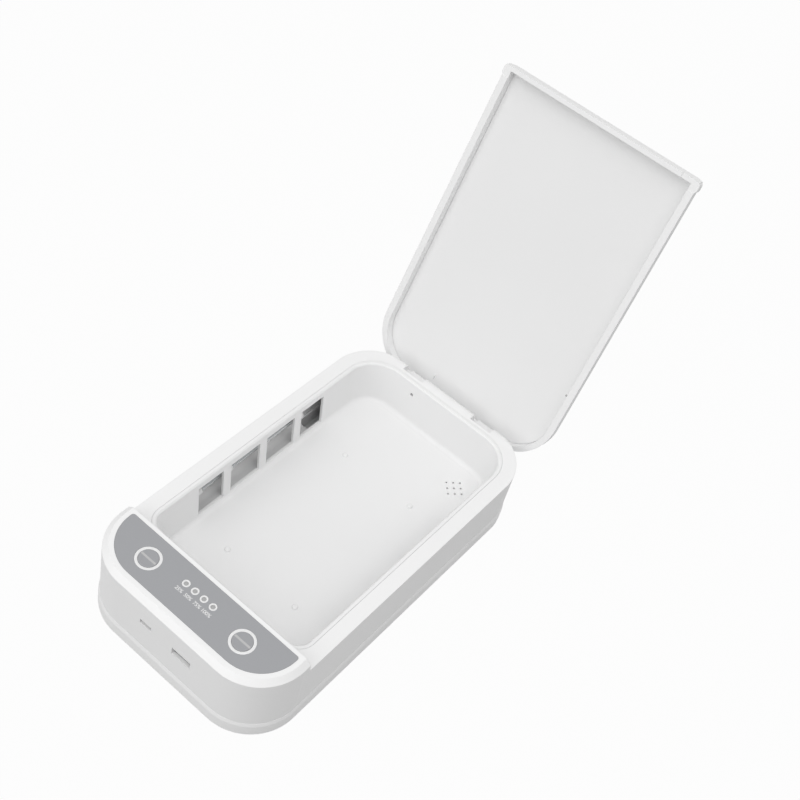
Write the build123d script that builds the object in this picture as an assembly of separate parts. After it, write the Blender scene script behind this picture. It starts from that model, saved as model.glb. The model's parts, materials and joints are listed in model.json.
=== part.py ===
"""UV sanitizer box for a phone: a bathtub-shaped chamber with lamps behind its side windows,
a raised control console at the front and a lid on two hinge pins at the rear.

Frame: millimetres, +Z up, origin on the table under the middle of the box, console towards -Y,
hinge towards +Y. The lid is written closed and then turned open about its hinge pins.
"""
from build123d import *
import os
from math import atan2, degrees, radians, sin, sqrt

# ---------------------------------------------------------------- driving dimensions
BODY_WIDTH = 128.0  # upper body, across X
BODY_LENGTH = 232.0  # upper body, along Y
CORNER_RADIUS = 30.0  # plan corners of the body
WALL = 2.0  # body shell
FIT_GAP = 0.1  # round a fixed piece in its seat
FOOT_HEIGHT = 0.6  # feet stand this far below the shell
SEAM_Z = 10.3  # joint between bottom shell and housing
TONGUE_HEIGHT = 2.5  # of the bottom shell, inside the housing
TONGUE_WALL = 1.3
SKIRT_PROUD = 0.7  # bottom shell stands out beyond the housing
SKIRT_LEDGE = 0.1  # flat ledge left at the seam, above the skirt's slope
SKIRT_SLOPE_HEIGHT = 2.2
SKIRT_CHAMFER = 0.3
RIM_Z = 41.0  # rim that the lid closes on
TOP_Z = 49.0  # console top, and top of the closed lid
BEVEL_HEIGHT = 2.8  # bevel round the top edge
BEVEL_INSET = 3.2
CONSOLE_REAR_Y = -81.3  # step between console and chamber rim

CHAMBER_HALF_WIDTH = 53.0  # inside of the chamber at rim height
CHAMBER_FRONT_Y = -76.5
CHAMBER_REAR_Y = 105.6
CHAMBER_FRONT_RADIUS = 8.0
CHAMBER_REAR_RADIUS = 19.5
CHAMBER_DRAFT = 5.5  # degrees, walls lean in towards the floor
CHAMBER_FLOOR_Z = 12.3
TRAY_WALL = 1.4
TRAY_LIP = 2.4  # width of the tray's top edge before its bevel
TRAY_LIP_BEVEL = 0.8
TRAY_FLANGE = 0.8  # flange under the rim
TRAY_FLANGE_THICKNESS = 1.5
TRAY_FLOOR = 1.6
FLOOR_FILLET = 3.0

WINDOW_CENTRE_Y = 9.5
WINDOW_WIDTHS = (19.0, 23.0, 23.0, 19.0)
WINDOW_POST = 5.8  # wall left between two windows
WINDOW_BOTTOM_Z = 15.4
WINDOW_TOP_Z = 36.4

VENT_CENTRE = (34.9, 84.1)
VENT_PITCH = 4.1
VENT_RADIUS = 0.65
REST_BUMPS = ((-25.0, -44.0), (25.0, -44.0), (-25.0, 54.0), (25.0, 54.0))
REST_BUMP_RADIUS = 1.7
REST_BUMP_HEIGHT = 0.8
SENSOR_X = -20.2
SENSOR_Z = 32.7
SENSOR_HOLE_RADIUS = 1.0
SENSOR_CHIP = 3.0
SENSOR_CHIP_DEPTH = 1.0
SENSOR_BOARD_WIDTH = 7.0
SENSOR_BOARD_Y = (107.8, 108.4)
SENSOR_BOARD_Z = (26.0, 36.5)

PANEL_MARGIN = 6.0  # from the body outline to the grey panel
PANEL_REAR_Y = -83.7
PANEL_THICKNESS = 1.0
PANEL_TIP_RADIUS = 1.5
COLLAR_Z = 46.0  # underside of the flanges that hold rings and light pipes
BUTTON_X = 32.7
BUTTON_Y = -97.0
BUTTON_RING_RADIUS = 7.1
BUTTON_CAP_RADIUS = 5.35
BUTTON_CLEARANCE = 0.15
BUTTON_TRAVEL = 0.5
BUTTON_PROUD = 0.1
BUTTON_SKIRT_Z = 45.0  # underside of the cap
BUTTON_FLANGE = 0.9  # keeps the cap under its ring
BUTTON_FLANGE_Z = (44.4, 45.4)
BUTTON_STEM_RADIUS = 2.2
LIGHT_COUNT = 4
LIGHT_PITCH = 6.22
LIGHT_Y = -93.65
LIGHT_RADIUS = 2.2
LIGHT_COLLAR = 0.8
LED_SIZE = (2.0, 1.6, 0.9)

USB_A_X = 11.9
USB_A_WIDTH = 12.6
USB_A_HEIGHT = 5.1
MICRO_X = -13.0
MICRO_WIDTH = 7.8
MICRO_HEIGHT = 2.9
PORT_TOP_Z = 32.4  # upper edge of both port mouths
PORT_SHEET = 0.35
PORT_ROOT = 2.0  # block that carries the contact tongue
PORT_TONGUE_DROP = 0.78  # share of the mouth's height from its top down to the tongue's underside
USB_A_DEPTH = 13.0
USB_A_TONGUE = (11.2, 1.8)  # width and thickness
MICRO_DEPTH = 6.0
MICRO_TONGUE = (5.8, 0.6)

HINGE_Y = 111.8
HINGE_Z = 34.9
HINGE_X = 26.0
HINGE_NOTCH_WIDTH = 14.6
HINGE_ARM_WIDTH = 12.4
HINGE_BARREL_RADIUS = 2.6
HINGE_EAR = 3.0  # thickness of each ear beside a notch
HINGE_EAR_FRONT = 2.7  # of an ear, in front of the axis
HINGE_EAR_DROP = 3.6  # of an ear, below the axis
HINGE_ARM_FRONT = 0.9  # of an arm, in front of the axis
HINGE_ARM_INSET = 0.6  # of an arm, behind the rear face
HINGE_ARM_RISE = 3.3  # of an arm, up into the lid's rear wall
HINGE_PIN_RADIUS = 1.0
HINGE_RUNNING_GAP = 0.06
HINGE_NOTCH_FRONT_Y = 110.4
HINGE_NOTCH_BOTTOM_Z = 28.9
LID_OPEN_ANGLE = 111.0
LID_GAP = 0.3  # between rim and closed lid
LID_WALL = 2.8  # front and rear walls of the lid
LID_SIDE_WALL = 4.1
LID_PLATE = 1.2
LINER_THICKNESS = 0.6
TAB_PROUD = 0.9
TAB_LENGTH = 6.8
TAB_ROOT = 2.0  # of a tab, inside the lid's wall
TAB_ROUND = 2.4
TAB_RELIEF = 0.35  # finger gap under the lid's front corners
TAB_RELIEF_WIDTH = 10.5

LAMP_X = 57.0
LAMP_Z = 28.0
LAMP_RADIUS = 2.0
LAMP_FRONT_Y = -40.0
LAMP_REAR_Y = 44.0
LAMP_END_ROUND = 1.2
LAMP_CAP_LENGTH = 6.0
LAMP_CAP_OVERHANG = 2.0  # of a cap, past the lamp's end
LAMP_CAP_RADIUS = 2.9
LAMP_CAP_FOOT = 4.0  # height of the foot that meets the reflector
REFLECTOR_FRONT_Y = -44.0
REFLECTOR_REAR_Y = 50.0
REFLECTOR_SHEET = 0.5
REFLECTOR_BACK_X = 61.6
REFLECTOR_BOTTOM_Z = 14.3
REFLECTOR_TOP_Z = 37.2
REFLECTOR_BEND_RADIUS = 6.5
REFLECTOR_TRAY_GAP = 0.4
LAMP_CLIP_Y = -13.5
LAMP_CLIP_WIDTH = 2.4
LAMP_CLIP_RING = 0.8
LAMP_CLIP_SLOT_RISE = 2.0  # height of the clip's slot in the reflector

AROMA_RADIUS = 9.2  # pad and warming plate
AROMA_HEATER_Z = 6.0
AROMA_HEATER_THICKNESS = 1.2
AROMA_CUP_TOP_Z = 10.0
AROMA_CUP_GAP = 0.4
AROMA_CUP_WALL = 1.0
AROMA_LEAD_NOTCH = 2.4

BOARD_THICKNESS = 1.6
BOARD_CORNER_RADIUS = 3.0
BUTTON_BOARD_TOP_Z = 37.6
MAIN_BOARD_BOTTOM_Z = PORT_TOP_Z + PORT_SHEET + 0.25
DRIVER_BOARD_BOTTOM_Z = 6.0
MAIN_BOARD_HALF_LENGTH = 30.0
DRIVER_BOARD_HALF_LENGTH = 22.0
BOARD_FRONT_Y = -112.5
BOARD_REAR_Y = -86.5
BUTTON_BOARD_HALF_LENGTH = 41.0
BUTTON_BOARD_Y = (-110.0, -86.0)
SWITCH_SIDE = 6.0
SWITCH_HEIGHT = 3.5
SWITCH_WELL = 2.2  # depth of the plunger's well
SWITCH_SLACK = 0.3  # left under the plunger when it is pressed
SWITCH_PLUNGER_RISE = 1.5
SWITCH_PLUNGER_RADIUS = 1.7
CHIPS = ((-4.0, -93.0, 7.0, 1.2), (12.0, -92.0, 5.0, 1.6), (-19.0, -93.0, 5.0, 2.0))  # x, y, side, height
CAPACITOR_X = 14.0
CAPACITOR_Y = -108.0
CAPACITOR_RADIUS = 2.5
CAPACITOR_HEIGHT = 9.0
CORE_SIZE = (16.0, 12.0, 3.0)
CORE_Y = -98.0
WINDING_RADIUS = 5.2
WINDING_HEIGHT = 4.0
SCREW_RADIUS = 1.3
SCREW_HEAD_RADIUS = 2.2
SCREW_CLEARANCE = 0.2
SLOT_HALF_WIDTH = 0.25
SMALL_SCREW_RADIUS = 0.8
SMALL_SCREW_HEAD_RADIUS = 1.7
SMALL_SCREW_LENGTH = 5.5
DRIVER_SCREW_LENGTH = 4.0
BOARD_HOLE_RADIUS = 1.1
CASE_SCREW_LENGTH = 16.0
CASE_SCREW_HEAD_Z = 2.6
CASE_BOSS_SPLIT_Z = 13.0
REAR_BOSS_TOP_Z = 36.0
BOSS_RADIUS = 3.2
LOWER_BOSS_RADIUS = 2.9
FOOT_RADIUS = 6.0
FOOT_RECESS = 1.0
FOOT_X = 45.0
FOOT_Y = 92.0
FOOT_CHAMFER = 0.4
WIRE_RADIUS = 0.7

# ---------------------------------------------------------------- derived sizes
HALF_WIDTH = BODY_WIDTH / 2
HALF_LENGTH = BODY_LENGTH / 2
SHELL_FLOOR_TOP_Z = FOOT_HEIGHT + WALL
SKIRT_SLOPE_Z = SEAM_Z - SKIRT_SLOPE_HEIGHT
SKIRT_TAPER = degrees(atan2(SKIRT_PROUD - SKIRT_LEDGE, SKIRT_SLOPE_HEIGHT))
RIM_PLATE_UNDERSIDE_Z = RIM_Z - WALL
CONSOLE_PLATE_UNDERSIDE_Z = TOP_Z - WALL
BEVEL_Z = TOP_Z - BEVEL_HEIGHT
BEVEL_TAPER = degrees(atan2(BEVEL_INSET, BEVEL_HEIGHT))
PANEL_FLOOR_Z = TOP_Z - PANEL_THICKNESS
RIM_OPENING_GROW = TRAY_LIP + FIT_GAP
TRAY_UNDERSIDE_Z = CHAMBER_FLOOR_Z - TRAY_FLOOR
TRAY_FLANGE_Z = RIM_PLATE_UNDERSIDE_Z - TRAY_FLANGE_THICKNESS
LID_FRONT_Y = CONSOLE_REAR_Y + LID_GAP
LID_RIM_Z = RIM_Z + LID_GAP
LINER_Z = TOP_Z - LID_PLATE - LINER_THICKNESS
HINGE_AXIS = Axis((0, HINGE_Y, HINGE_Z), (1, 0, 0))
MAIN_BOARD_TOP_Z = MAIN_BOARD_BOTTOM_Z + BOARD_THICKNESS
BUTTON_BOARD_BOTTOM_Z = BUTTON_BOARD_TOP_Z - BOARD_THICKNESS
DRIVER_BOARD_TOP_Z = DRIVER_BOARD_BOTTOM_Z + BOARD_THICKNESS
SWITCH_TOP_Z = BUTTON_BOARD_TOP_Z + SWITCH_HEIGHT
PORT_FRONT_Y = WALL - HALF_LENGTH
BOSS_FROM_OUTLINE = WALL + BOSS_RADIUS - FIT_GAP  # a boss just bites into the wall beside it
BOSS_DIAGONAL = (CORNER_RADIUS - BOSS_FROM_OUTLINE) / sqrt(2)
CASE_SCREWS = tuple(
    (side * x, y)
    for side in (-1, 1)
    for x, y in (
        (50.0, -100.0),
        (HALF_WIDTH - BOSS_FROM_OUTLINE, -53.0),
        (HALF_WIDTH - CORNER_RADIUS + BOSS_DIAGONAL, HALF_LENGTH - CORNER_RADIUS + BOSS_DIAGONAL),
    )
)
BUTTON_BOARD_SCREWS = ((-20.0, -104.0), (20.0, -104.0))
MAIN_BOARD_SCREWS = tuple((x, y) for x in (-26.0, 26.0) for y in (-108.0, -90.0))
DRIVER_BOARD_SCREWS = ((-18.0, -99.0), (18.0, -99.0))
BOARD_POST_RADIUS = 2.6
LEAD_FLOOR_Z = SHELL_FLOOR_TOP_Z + WIRE_RADIUS + 0.3
ROOT = 0.5  # how far a post or boss is sunk into what carries it
FAR = 200.0  # beyond every face of the box


# ---------------------------------------------------------------- shared shapes
def plan(half_width, front_y, rear_y, front_radius, rear_radius):
    """Rectangle in the XY plane whose front and rear corners have their own radius."""
    middle = (front_y + rear_y) / 2
    face = Pos(0, middle) * Rectangle(2 * half_width, rear_y - front_y)
    front = [corner for corner in face.vertices() if corner.Y < middle]
    face = fillet(front, front_radius)
    rear = [corner for corner in face.vertices() if corner.Y > middle]
    return fillet(rear, rear_radius)


def body_plan(inset=0.0):
    """Outline of the whole box, moved inwards by inset."""
    radius = CORNER_RADIUS - inset
    return plan(HALF_WIDTH - inset, inset - HALF_LENGTH, HALF_LENGTH - inset, radius, radius)


def chamber_plan(grow=0.0):
    """Outline of the chamber at rim height, moved outwards by grow."""
    return plan(
        CHAMBER_HALF_WIDTH + grow,
        CHAMBER_FRONT_Y - grow,
        CHAMBER_REAR_Y + grow,
        CHAMBER_FRONT_RADIUS + grow,
        CHAMBER_REAR_RADIUS + grow,
    )


def slab(face, low, high):
    """Upright prism of a face between two heights."""
    return extrude(Pos(0, 0, low) * face, high - low)


def sunk(face, top, bottom, draft):
    """Solid of a face going down from top to bottom and narrowing by the draft angle."""
    return extrude(Pos(0, 0, top) * face, top - bottom, dir=(0, 0, -1), taper=draft)


def bevelled(face, low):
    """Prism from low up to the top of the box, with the bevel round its top edge."""
    return slab(face, low, BEVEL_Z) + extrude(Pos(0, 0, BEVEL_Z) * face, BEVEL_HEIGHT, taper=BEVEL_TAPER)


def block(x_range, y_range, z_range):
    """Box given by its two limits along each axis."""
    size = [high - low for low, high in (x_range, y_range, z_range)]
    middle = [(high + low) / 2 for low, high in (x_range, y_range, z_range)]
    return Pos(*middle) * Box(*size)


def post(x, y, low, high, radius):
    """Upright cylinder."""
    return Pos(x, y, (low + high) / 2) * Cylinder(radius, high - low)


def rod_x(x_low, x_high, y, z, radius):
    """Cylinder along X."""
    return Pos((x_low + x_high) / 2, y, z) * Rot(0, 90, 0) * Cylinder(radius, x_high - x_low)


def rod_y(x, y_low, y_high, z, radius):
    """Cylinder along Y."""
    return Pos(x, (y_low + y_high) / 2, z) * Rot(90, 0, 0) * Cylinder(radius, y_high - y_low)


def mirrored(shape):
    """The same piece on the other side of the box."""
    return mirror(shape, Plane.YZ)


def opened(shape):
    """A piece of the lid, turned from closed to open about the hinge pins."""
    return shape.rotate(HINGE_AXIS, -LID_OPEN_ANGLE)


def wire(points, bend=3.0):
    """Round wire along corner points, with its corners rounded."""
    path = FilletPolyline(*points, radius=bend)
    section = Plane(path @ 0, z_dir=path % 0) * Circle(WIRE_RADIUS)
    return sweep(section, path=path)


# ---------------------------------------------------------------- casing
def bottom_shell():
    """Shallow tray with a proud skirt, a tongue into the housing, bosses, board posts and foot recesses."""
    tongue_top = SEAM_Z + TONGUE_HEIGHT
    skirt = slab(body_plan(-SKIRT_PROUD), FOOT_HEIGHT, SKIRT_SLOPE_Z)
    slope_foot = Pos(0, 0, SKIRT_SLOPE_Z) * body_plan(-SKIRT_PROUD)
    skirt += extrude(slope_foot, SKIRT_SLOPE_HEIGHT, taper=SKIRT_TAPER)
    tongue = slab(body_plan(WALL + FIT_GAP), FOOT_HEIGHT, tongue_top)
    shell = skirt + tongue - slab(body_plan(WALL + FIT_GAP + TONGUE_WALL), SHELL_FLOOR_TOP_Z, tongue_top)
    shell = chamfer(shell.edges().group_by(Axis.Z)[0], SKIRT_CHAMFER)
    root = FOOT_HEIGHT + ROOT
    for x, y in CASE_SCREWS:
        shell += post(x, y, root, CASE_BOSS_SPLIT_Z, LOWER_BOSS_RADIUS)
        shell -= post(x, y, 0, CASE_SCREW_HEAD_Z, SCREW_HEAD_RADIUS + SCREW_CLEARANCE)
        shell -= post(x, y, 0, CASE_BOSS_SPLIT_Z, SCREW_RADIUS + SCREW_CLEARANCE)
    board_posts = [(x, y, MAIN_BOARD_BOTTOM_Z, SMALL_SCREW_LENGTH) for x, y in MAIN_BOARD_SCREWS]
    board_posts += [(x, y, DRIVER_BOARD_BOTTOM_Z, DRIVER_SCREW_LENGTH) for x, y in DRIVER_BOARD_SCREWS]
    for x, y, top, screw_length in board_posts:
        shell += post(x, y, root, top, BOARD_POST_RADIUS)
        shell -= post(x, y, top + BOARD_THICKNESS - screw_length - ROOT, top, SMALL_SCREW_RADIUS)
    shell += post(*VENT_CENTRE, root, AROMA_CUP_TOP_Z, AROMA_RADIUS + AROMA_CUP_GAP + AROMA_CUP_WALL)
    shell -= post(*VENT_CENTRE, AROMA_HEATER_Z, AROMA_CUP_TOP_Z, AROMA_RADIUS + AROMA_CUP_GAP)
    aroma_x, aroma_y = VENT_CENTRE
    shell -= block(
        (aroma_x - AROMA_LEAD_NOTCH / 2, aroma_x + AROMA_LEAD_NOTCH / 2),
        (aroma_y - AROMA_RADIUS - AROMA_LEAD_NOTCH, aroma_y - AROMA_RADIUS + ROOT),
        (AROMA_HEATER_Z, AROMA_CUP_TOP_Z),
    )
    for x, y in foot_places():
        shell -= post(x, y, 0, FOOT_HEIGHT + FOOT_RECESS, FOOT_RADIUS + FIT_GAP)
    return shell


def housing_shell():
    """Outer wall, rim plate and hollow console, before its bosses and holes."""
    outer = bevelled(body_plan(), SEAM_Z)
    above_rim = block((-FAR, FAR), (CONSOLE_REAR_Y, FAR), (RIM_Z, FAR))
    cavity = slab(body_plan(WALL), SEAM_Z, RIM_PLATE_UNDERSIDE_Z)
    console_cavity = Pos(0, 0, -WALL) * bevelled(body_plan(WALL), SEAM_Z + WALL)
    behind_console = block(
        (-FAR, FAR), (CONSOLE_REAR_Y - WALL, FAR), (0, FAR)
    )
    opening = slab(chamber_plan(RIM_OPENING_GROW), RIM_PLATE_UNDERSIDE_Z, RIM_Z)
    return outer - above_rim - cavity - (console_cavity - behind_console) - opening


def hinge_seats():
    """Ears that carry the hinge pins, and the notches between them, as (added, removed)."""
    half_notch = HINGE_NOTCH_WIDTH / 2
    ears, notches = [], []
    for centre in (-HINGE_X, HINGE_X):
        for low in (centre - half_notch - HINGE_EAR, centre + half_notch):
            ears.append(
                block(
                    (low, low + HINGE_EAR),
                    (HINGE_Y - HINGE_EAR_FRONT, HALF_LENGTH - WALL),
                    (HINGE_Z - HINGE_EAR_DROP, RIM_PLATE_UNDERSIDE_Z),
                )
            )
        notches.append(
            block(
                (centre - half_notch, centre + half_notch),
                (HINGE_NOTCH_FRONT_Y, FAR),
                (HINGE_NOTCH_BOTTOM_Z, FAR),
            )
        )
        pin_half = half_notch + HINGE_EAR
        notches.append(rod_x(centre - pin_half, centre + pin_half, HINGE_Y, HINGE_Z, HINGE_PIN_RADIUS))
    return ears, notches


def rear_rounding():
    """What comes off the rear top edge so that the lid's rim can turn round it."""
    rim_radius = RIM_Z - HINGE_Z
    corner = block(
        (-HALF_WIDTH, HALF_WIDTH), (HINGE_Y, HALF_LENGTH + 1), (HINGE_Z, HINGE_Z + rim_radius + 1)
    )
    return corner - rod_x(-HALF_WIDTH, HALF_WIDTH, HINGE_Y, HINGE_Z, rim_radius)


def main_housing():
    """Upper casing: walls, chamber rim and raised console."""
    housing = housing_shell()
    ears, notches = hinge_seats()
    for ear in ears:
        housing += ear
    pilot_top = CASE_SCREW_HEAD_Z + CASE_SCREW_LENGTH + ROOT
    for x, y in CASE_SCREWS:
        top = CONSOLE_PLATE_UNDERSIDE_Z if y < CONSOLE_REAR_Y else REAR_BOSS_TOP_Z
        housing += post(x, y, CASE_BOSS_SPLIT_Z, top, BOSS_RADIUS)
        housing -= post(x, y, CASE_BOSS_SPLIT_Z, pilot_top, SCREW_RADIUS)
    for x, y in BUTTON_BOARD_SCREWS:
        housing += post(x, y, BUTTON_BOARD_TOP_Z, CONSOLE_PLATE_UNDERSIDE_Z, BOARD_POST_RADIUS)
        housing -= post(x, y, BUTTON_BOARD_TOP_Z, BUTTON_BOARD_TOP_Z + SMALL_SCREW_LENGTH, SMALL_SCREW_RADIUS)
    for notch in notches:
        housing -= notch
    housing -= rear_rounding()
    housing -= slab(panel_plan(-FIT_GAP), PANEL_FLOOR_Z, TOP_Z)
    for x in (-BUTTON_X, BUTTON_X):
        housing -= post(x, BUTTON_Y, BEVEL_Z, TOP_Z, BUTTON_RING_RADIUS + FIT_GAP)
    for x in light_places():
        housing -= post(x, LIGHT_Y, BEVEL_Z, TOP_Z, LIGHT_RADIUS + FIT_GAP)
    for x, width, height in port_mouths():
        housing -= port_block(x, width, height, -FAR, PORT_FRONT_Y)
    return housing


def chamber_tray():
    """Chamber liner: sloping walls with windows, vented floor, rest bumps and a lip inside the rim."""
    outside = sunk(chamber_plan(TRAY_WALL), RIM_PLATE_UNDERSIDE_Z, TRAY_UNDERSIDE_Z, CHAMBER_DRAFT)
    lip = slab(chamber_plan(TRAY_LIP), TRAY_FLANGE_Z, RIM_Z)
    flange = slab(chamber_plan(RIM_OPENING_GROW + TRAY_FLANGE), TRAY_FLANGE_Z, RIM_PLATE_UNDERSIDE_Z)
    inside = sunk(chamber_plan(), RIM_Z, CHAMBER_FLOOR_Z, CHAMBER_DRAFT)
    inside = fillet(inside.edges().group_by(Axis.Z)[0], FLOOR_FILLET)
    lip_bevel = sunk(chamber_plan(TRAY_LIP_BEVEL), RIM_Z, RIM_Z - TRAY_LIP_BEVEL, 45)
    tray = outside + lip + flange - inside - lip_bevel
    for low, high in window_spans():
        tray -= block((-HALF_WIDTH, HALF_WIDTH), (low, high), (WINDOW_BOTTOM_Z, WINDOW_TOP_Z))
    vent_x, vent_y = VENT_CENTRE
    diagonal = VENT_PITCH / sqrt(2)
    for row in (-1, 0, 1):
        for column in (-1, 0, 1):
            hole_x = vent_x + diagonal * (column + row)
            hole_y = vent_y + diagonal * (column - row)
            tray -= post(hole_x, hole_y, 0, FAR, VENT_RADIUS)
    for x, y in REST_BUMPS:
        bump = post(x, y, CHAMBER_FLOOR_Z - ROOT, CHAMBER_FLOOR_Z + REST_BUMP_HEIGHT, REST_BUMP_RADIUS)
        tray += fillet(bump.edges().group_by(Axis.Z)[-1], 0.9 * REST_BUMP_HEIGHT)
    tray -= rod_y(SENSOR_X, 0, FAR, SENSOR_Z, SENSOR_HOLE_RADIUS)
    return tray


def window_spans():
    """Front and rear edge of each window, along Y."""
    total = sum(WINDOW_WIDTHS) + WINDOW_POST * (len(WINDOW_WIDTHS) - 1)
    low = WINDOW_CENTRE_Y - total / 2
    spans = []
    for width in WINDOW_WIDTHS:
        spans.append((low, low + width))
        low += width + WINDOW_POST
    return spans


def foot_places():
    """Centres of the four feet."""
    return [(x, y) for y in (-FOOT_Y, FOOT_Y) for x in (-FOOT_X, FOOT_X)]


def foot(x, y):
    """Round rubber foot, set in its recess."""
    pad = post(x, y, 0, FOOT_HEIGHT + FOOT_RECESS, FOOT_RADIUS)
    return chamfer(pad.edges().group_by(Axis.Z)[0], FOOT_CHAMFER)


# ---------------------------------------------------------------- control console
def panel_plan(inset=0.0):
    """Grey panel: the body outline moved inwards, cut off straight along its rear edge."""
    rear = PANEL_REAR_Y - inset
    strip = Pos(0, rear - FAR / 2) * Rectangle(BODY_WIDTH, FAR)
    face = body_plan(PANEL_MARGIN + inset) & strip
    tips = [corner for corner in face.vertices() if abs(corner.Y - rear) < 0.01]
    return fillet(tips, PANEL_TIP_RADIUS)


def light_places():
    """X of each charge light."""
    return [(k - (LIGHT_COUNT - 1) / 2) * LIGHT_PITCH for k in range(LIGHT_COUNT)]


def control_panel():
    """Flat grey panel, with holes for the button rings and the charge lights."""
    panel = slab(panel_plan(), PANEL_FLOOR_Z, TOP_Z)
    for x in (-BUTTON_X, BUTTON_X):
        panel -= post(x, BUTTON_Y, PANEL_FLOOR_Z, TOP_Z, BUTTON_RING_RADIUS + FIT_GAP / 2)
    for x in light_places():
        panel -= post(x, LIGHT_Y, PANEL_FLOOR_Z, TOP_Z, LIGHT_RADIUS + FIT_GAP / 2)
    return panel


def light_ring(x):
    """Pale ring round a button, held by a flange under the console plate."""
    ring = post(x, BUTTON_Y, COLLAR_Z, TOP_Z, BUTTON_RING_RADIUS)
    ring += post(x, BUTTON_Y, COLLAR_Z, CONSOLE_PLATE_UNDERSIDE_Z, BUTTON_RING_RADIUS + BUTTON_FLANGE)
    return ring - post(x, BUTTON_Y, COLLAR_Z, TOP_Z, BUTTON_CAP_RADIUS + BUTTON_CLEARANCE)


def button_cap(x):
    """Round push button with a retaining flange below the ring and a stem to its switch."""
    cap = post(x, BUTTON_Y, BUTTON_SKIRT_Z, TOP_Z + BUTTON_PROUD, BUTTON_CAP_RADIUS)
    cap = chamfer(cap.edges().group_by(Axis.Z)[-1], BUTTON_CLEARANCE)
    flange = post(x, BUTTON_Y, *BUTTON_FLANGE_Z, BUTTON_CAP_RADIUS + BUTTON_FLANGE)
    stem = post(x, BUTTON_Y, SWITCH_TOP_Z + SWITCH_PLUNGER_RISE, BUTTON_SKIRT_Z, BUTTON_STEM_RADIUS)
    return cap + flange + stem


def switch_body(x):
    """Square switch with a well for its plunger."""
    half = SWITCH_SIDE / 2
    body = block((x - half, x + half), (BUTTON_Y - half, BUTTON_Y + half), (BUTTON_BOARD_TOP_Z, SWITCH_TOP_Z))
    well_radius = SWITCH_PLUNGER_RADIUS + BUTTON_CLEARANCE
    return body - post(x, BUTTON_Y, SWITCH_TOP_Z - SWITCH_WELL, SWITCH_TOP_Z, well_radius)


def switch_plunger(x):
    """Plunger between the switch and the button's stem."""
    low = SWITCH_TOP_Z - SWITCH_WELL + BUTTON_TRAVEL + SWITCH_SLACK
    return post(x, BUTTON_Y, low, SWITCH_TOP_Z + SWITCH_PLUNGER_RISE, SWITCH_PLUNGER_RADIUS)


def light_pipe(x):
    """Clear pipe that brings one charge light up to the panel."""
    top = post(x, LIGHT_Y, COLLAR_Z, TOP_Z, LIGHT_RADIUS)
    flange = post(x, LIGHT_Y, COLLAR_Z, CONSOLE_PLATE_UNDERSIDE_Z, LIGHT_RADIUS + LIGHT_COLLAR)
    stem_low = BUTTON_BOARD_TOP_Z + LED_SIZE[2] + SWITCH_SLACK
    return top + flange + post(x, LIGHT_Y, stem_low, COLLAR_Z, LIGHT_RADIUS - ROOT)


def status_leds():
    """The light-emitting chips under the pipes."""
    centre_z = BUTTON_BOARD_TOP_Z + LED_SIZE[2] / 2
    return Compound(children=[Pos(x, LIGHT_Y, centre_z) * Box(*LED_SIZE) for x in light_places()])


def button_board():
    """Circuit board under the console plate, for switches and charge lights."""
    width = (-BUTTON_BOARD_HALF_LENGTH, BUTTON_BOARD_HALF_LENGTH)
    board = block(width, BUTTON_BOARD_Y, (BUTTON_BOARD_BOTTOM_Z, BUTTON_BOARD_TOP_Z))
    board = fillet(board.edges().filter_by(Axis.Z), BOARD_CORNER_RADIUS)
    for x, y in BUTTON_BOARD_SCREWS:
        board -= post(x, y, BUTTON_BOARD_BOTTOM_Z, BUTTON_BOARD_TOP_Z, BOARD_HOLE_RADIUS)
    return board


# ---------------------------------------------------------------- ports and boards
def port_mouths():
    """Centre X, width and height of each port mouth."""
    return ((USB_A_X, USB_A_WIDTH, USB_A_HEIGHT), (MICRO_X, MICRO_WIDTH, MICRO_HEIGHT))


def port_block(x, width, height, front, rear, grow=0.0):
    """Space of a port mouth between two depths."""
    return block(
        (x - width / 2 - grow, x + width / 2 + grow),
        (front, rear),
        (PORT_TOP_Z - height - grow, PORT_TOP_Z + grow),
    )


def port_shell(x, width, height, depth):
    """Folded metal shell of a port, open towards the front wall."""
    rear = PORT_FRONT_Y + depth
    shell = port_block(x, width, height, PORT_FRONT_Y, rear, PORT_SHEET)
    return shell - port_block(x, width, height, PORT_FRONT_Y, rear - PORT_SHEET)


def port_tongue(x, width, height, depth, thickness):
    """Contact tongue in a port, below its middle, with its root block."""
    span = (x - width / 2, x + width / 2)
    rear = PORT_FRONT_Y + depth
    low = PORT_TOP_Z - PORT_TONGUE_DROP * height
    tongue = block(span, (PORT_FRONT_Y + 1.0, rear - PORT_ROOT), (low, low + thickness))
    root = block(span, (rear - PORT_ROOT, rear - PORT_SHEET), (PORT_TOP_Z - height, PORT_TOP_Z))
    return tongue + root


def board_plate(half_length, low, screws):
    """Rectangular circuit board with its screw holes."""
    plate = block((-half_length, half_length), (BOARD_FRONT_Y, BOARD_REAR_Y), (low, low + BOARD_THICKNESS))
    for x, y in screws:
        plate -= post(x, y, low, low + BOARD_THICKNESS, BOARD_HOLE_RADIUS)
    return plate


def main_board():
    """Main circuit board, which carries both ports on its underside, with its controller chips."""
    board = board_plate(MAIN_BOARD_HALF_LENGTH, MAIN_BOARD_BOTTOM_Z, MAIN_BOARD_SCREWS)
    for x, y, side, height in CHIPS:
        board += block(
            (x - side / 2, x + side / 2),
            (y - side / 2, y + side / 2),
            (MAIN_BOARD_BOTTOM_Z - height, MAIN_BOARD_BOTTOM_Z),
        )
    return board


def driver_board():
    """Lamp driver board with its capacitors."""
    board = board_plate(DRIVER_BOARD_HALF_LENGTH, DRIVER_BOARD_BOTTOM_Z, DRIVER_BOARD_SCREWS)
    for x in (-CAPACITOR_X, CAPACITOR_X):
        top = DRIVER_BOARD_TOP_Z + CAPACITOR_HEIGHT
        board += post(x, CAPACITOR_Y, DRIVER_BOARD_TOP_Z, top, CAPACITOR_RADIUS)
    return board


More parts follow.
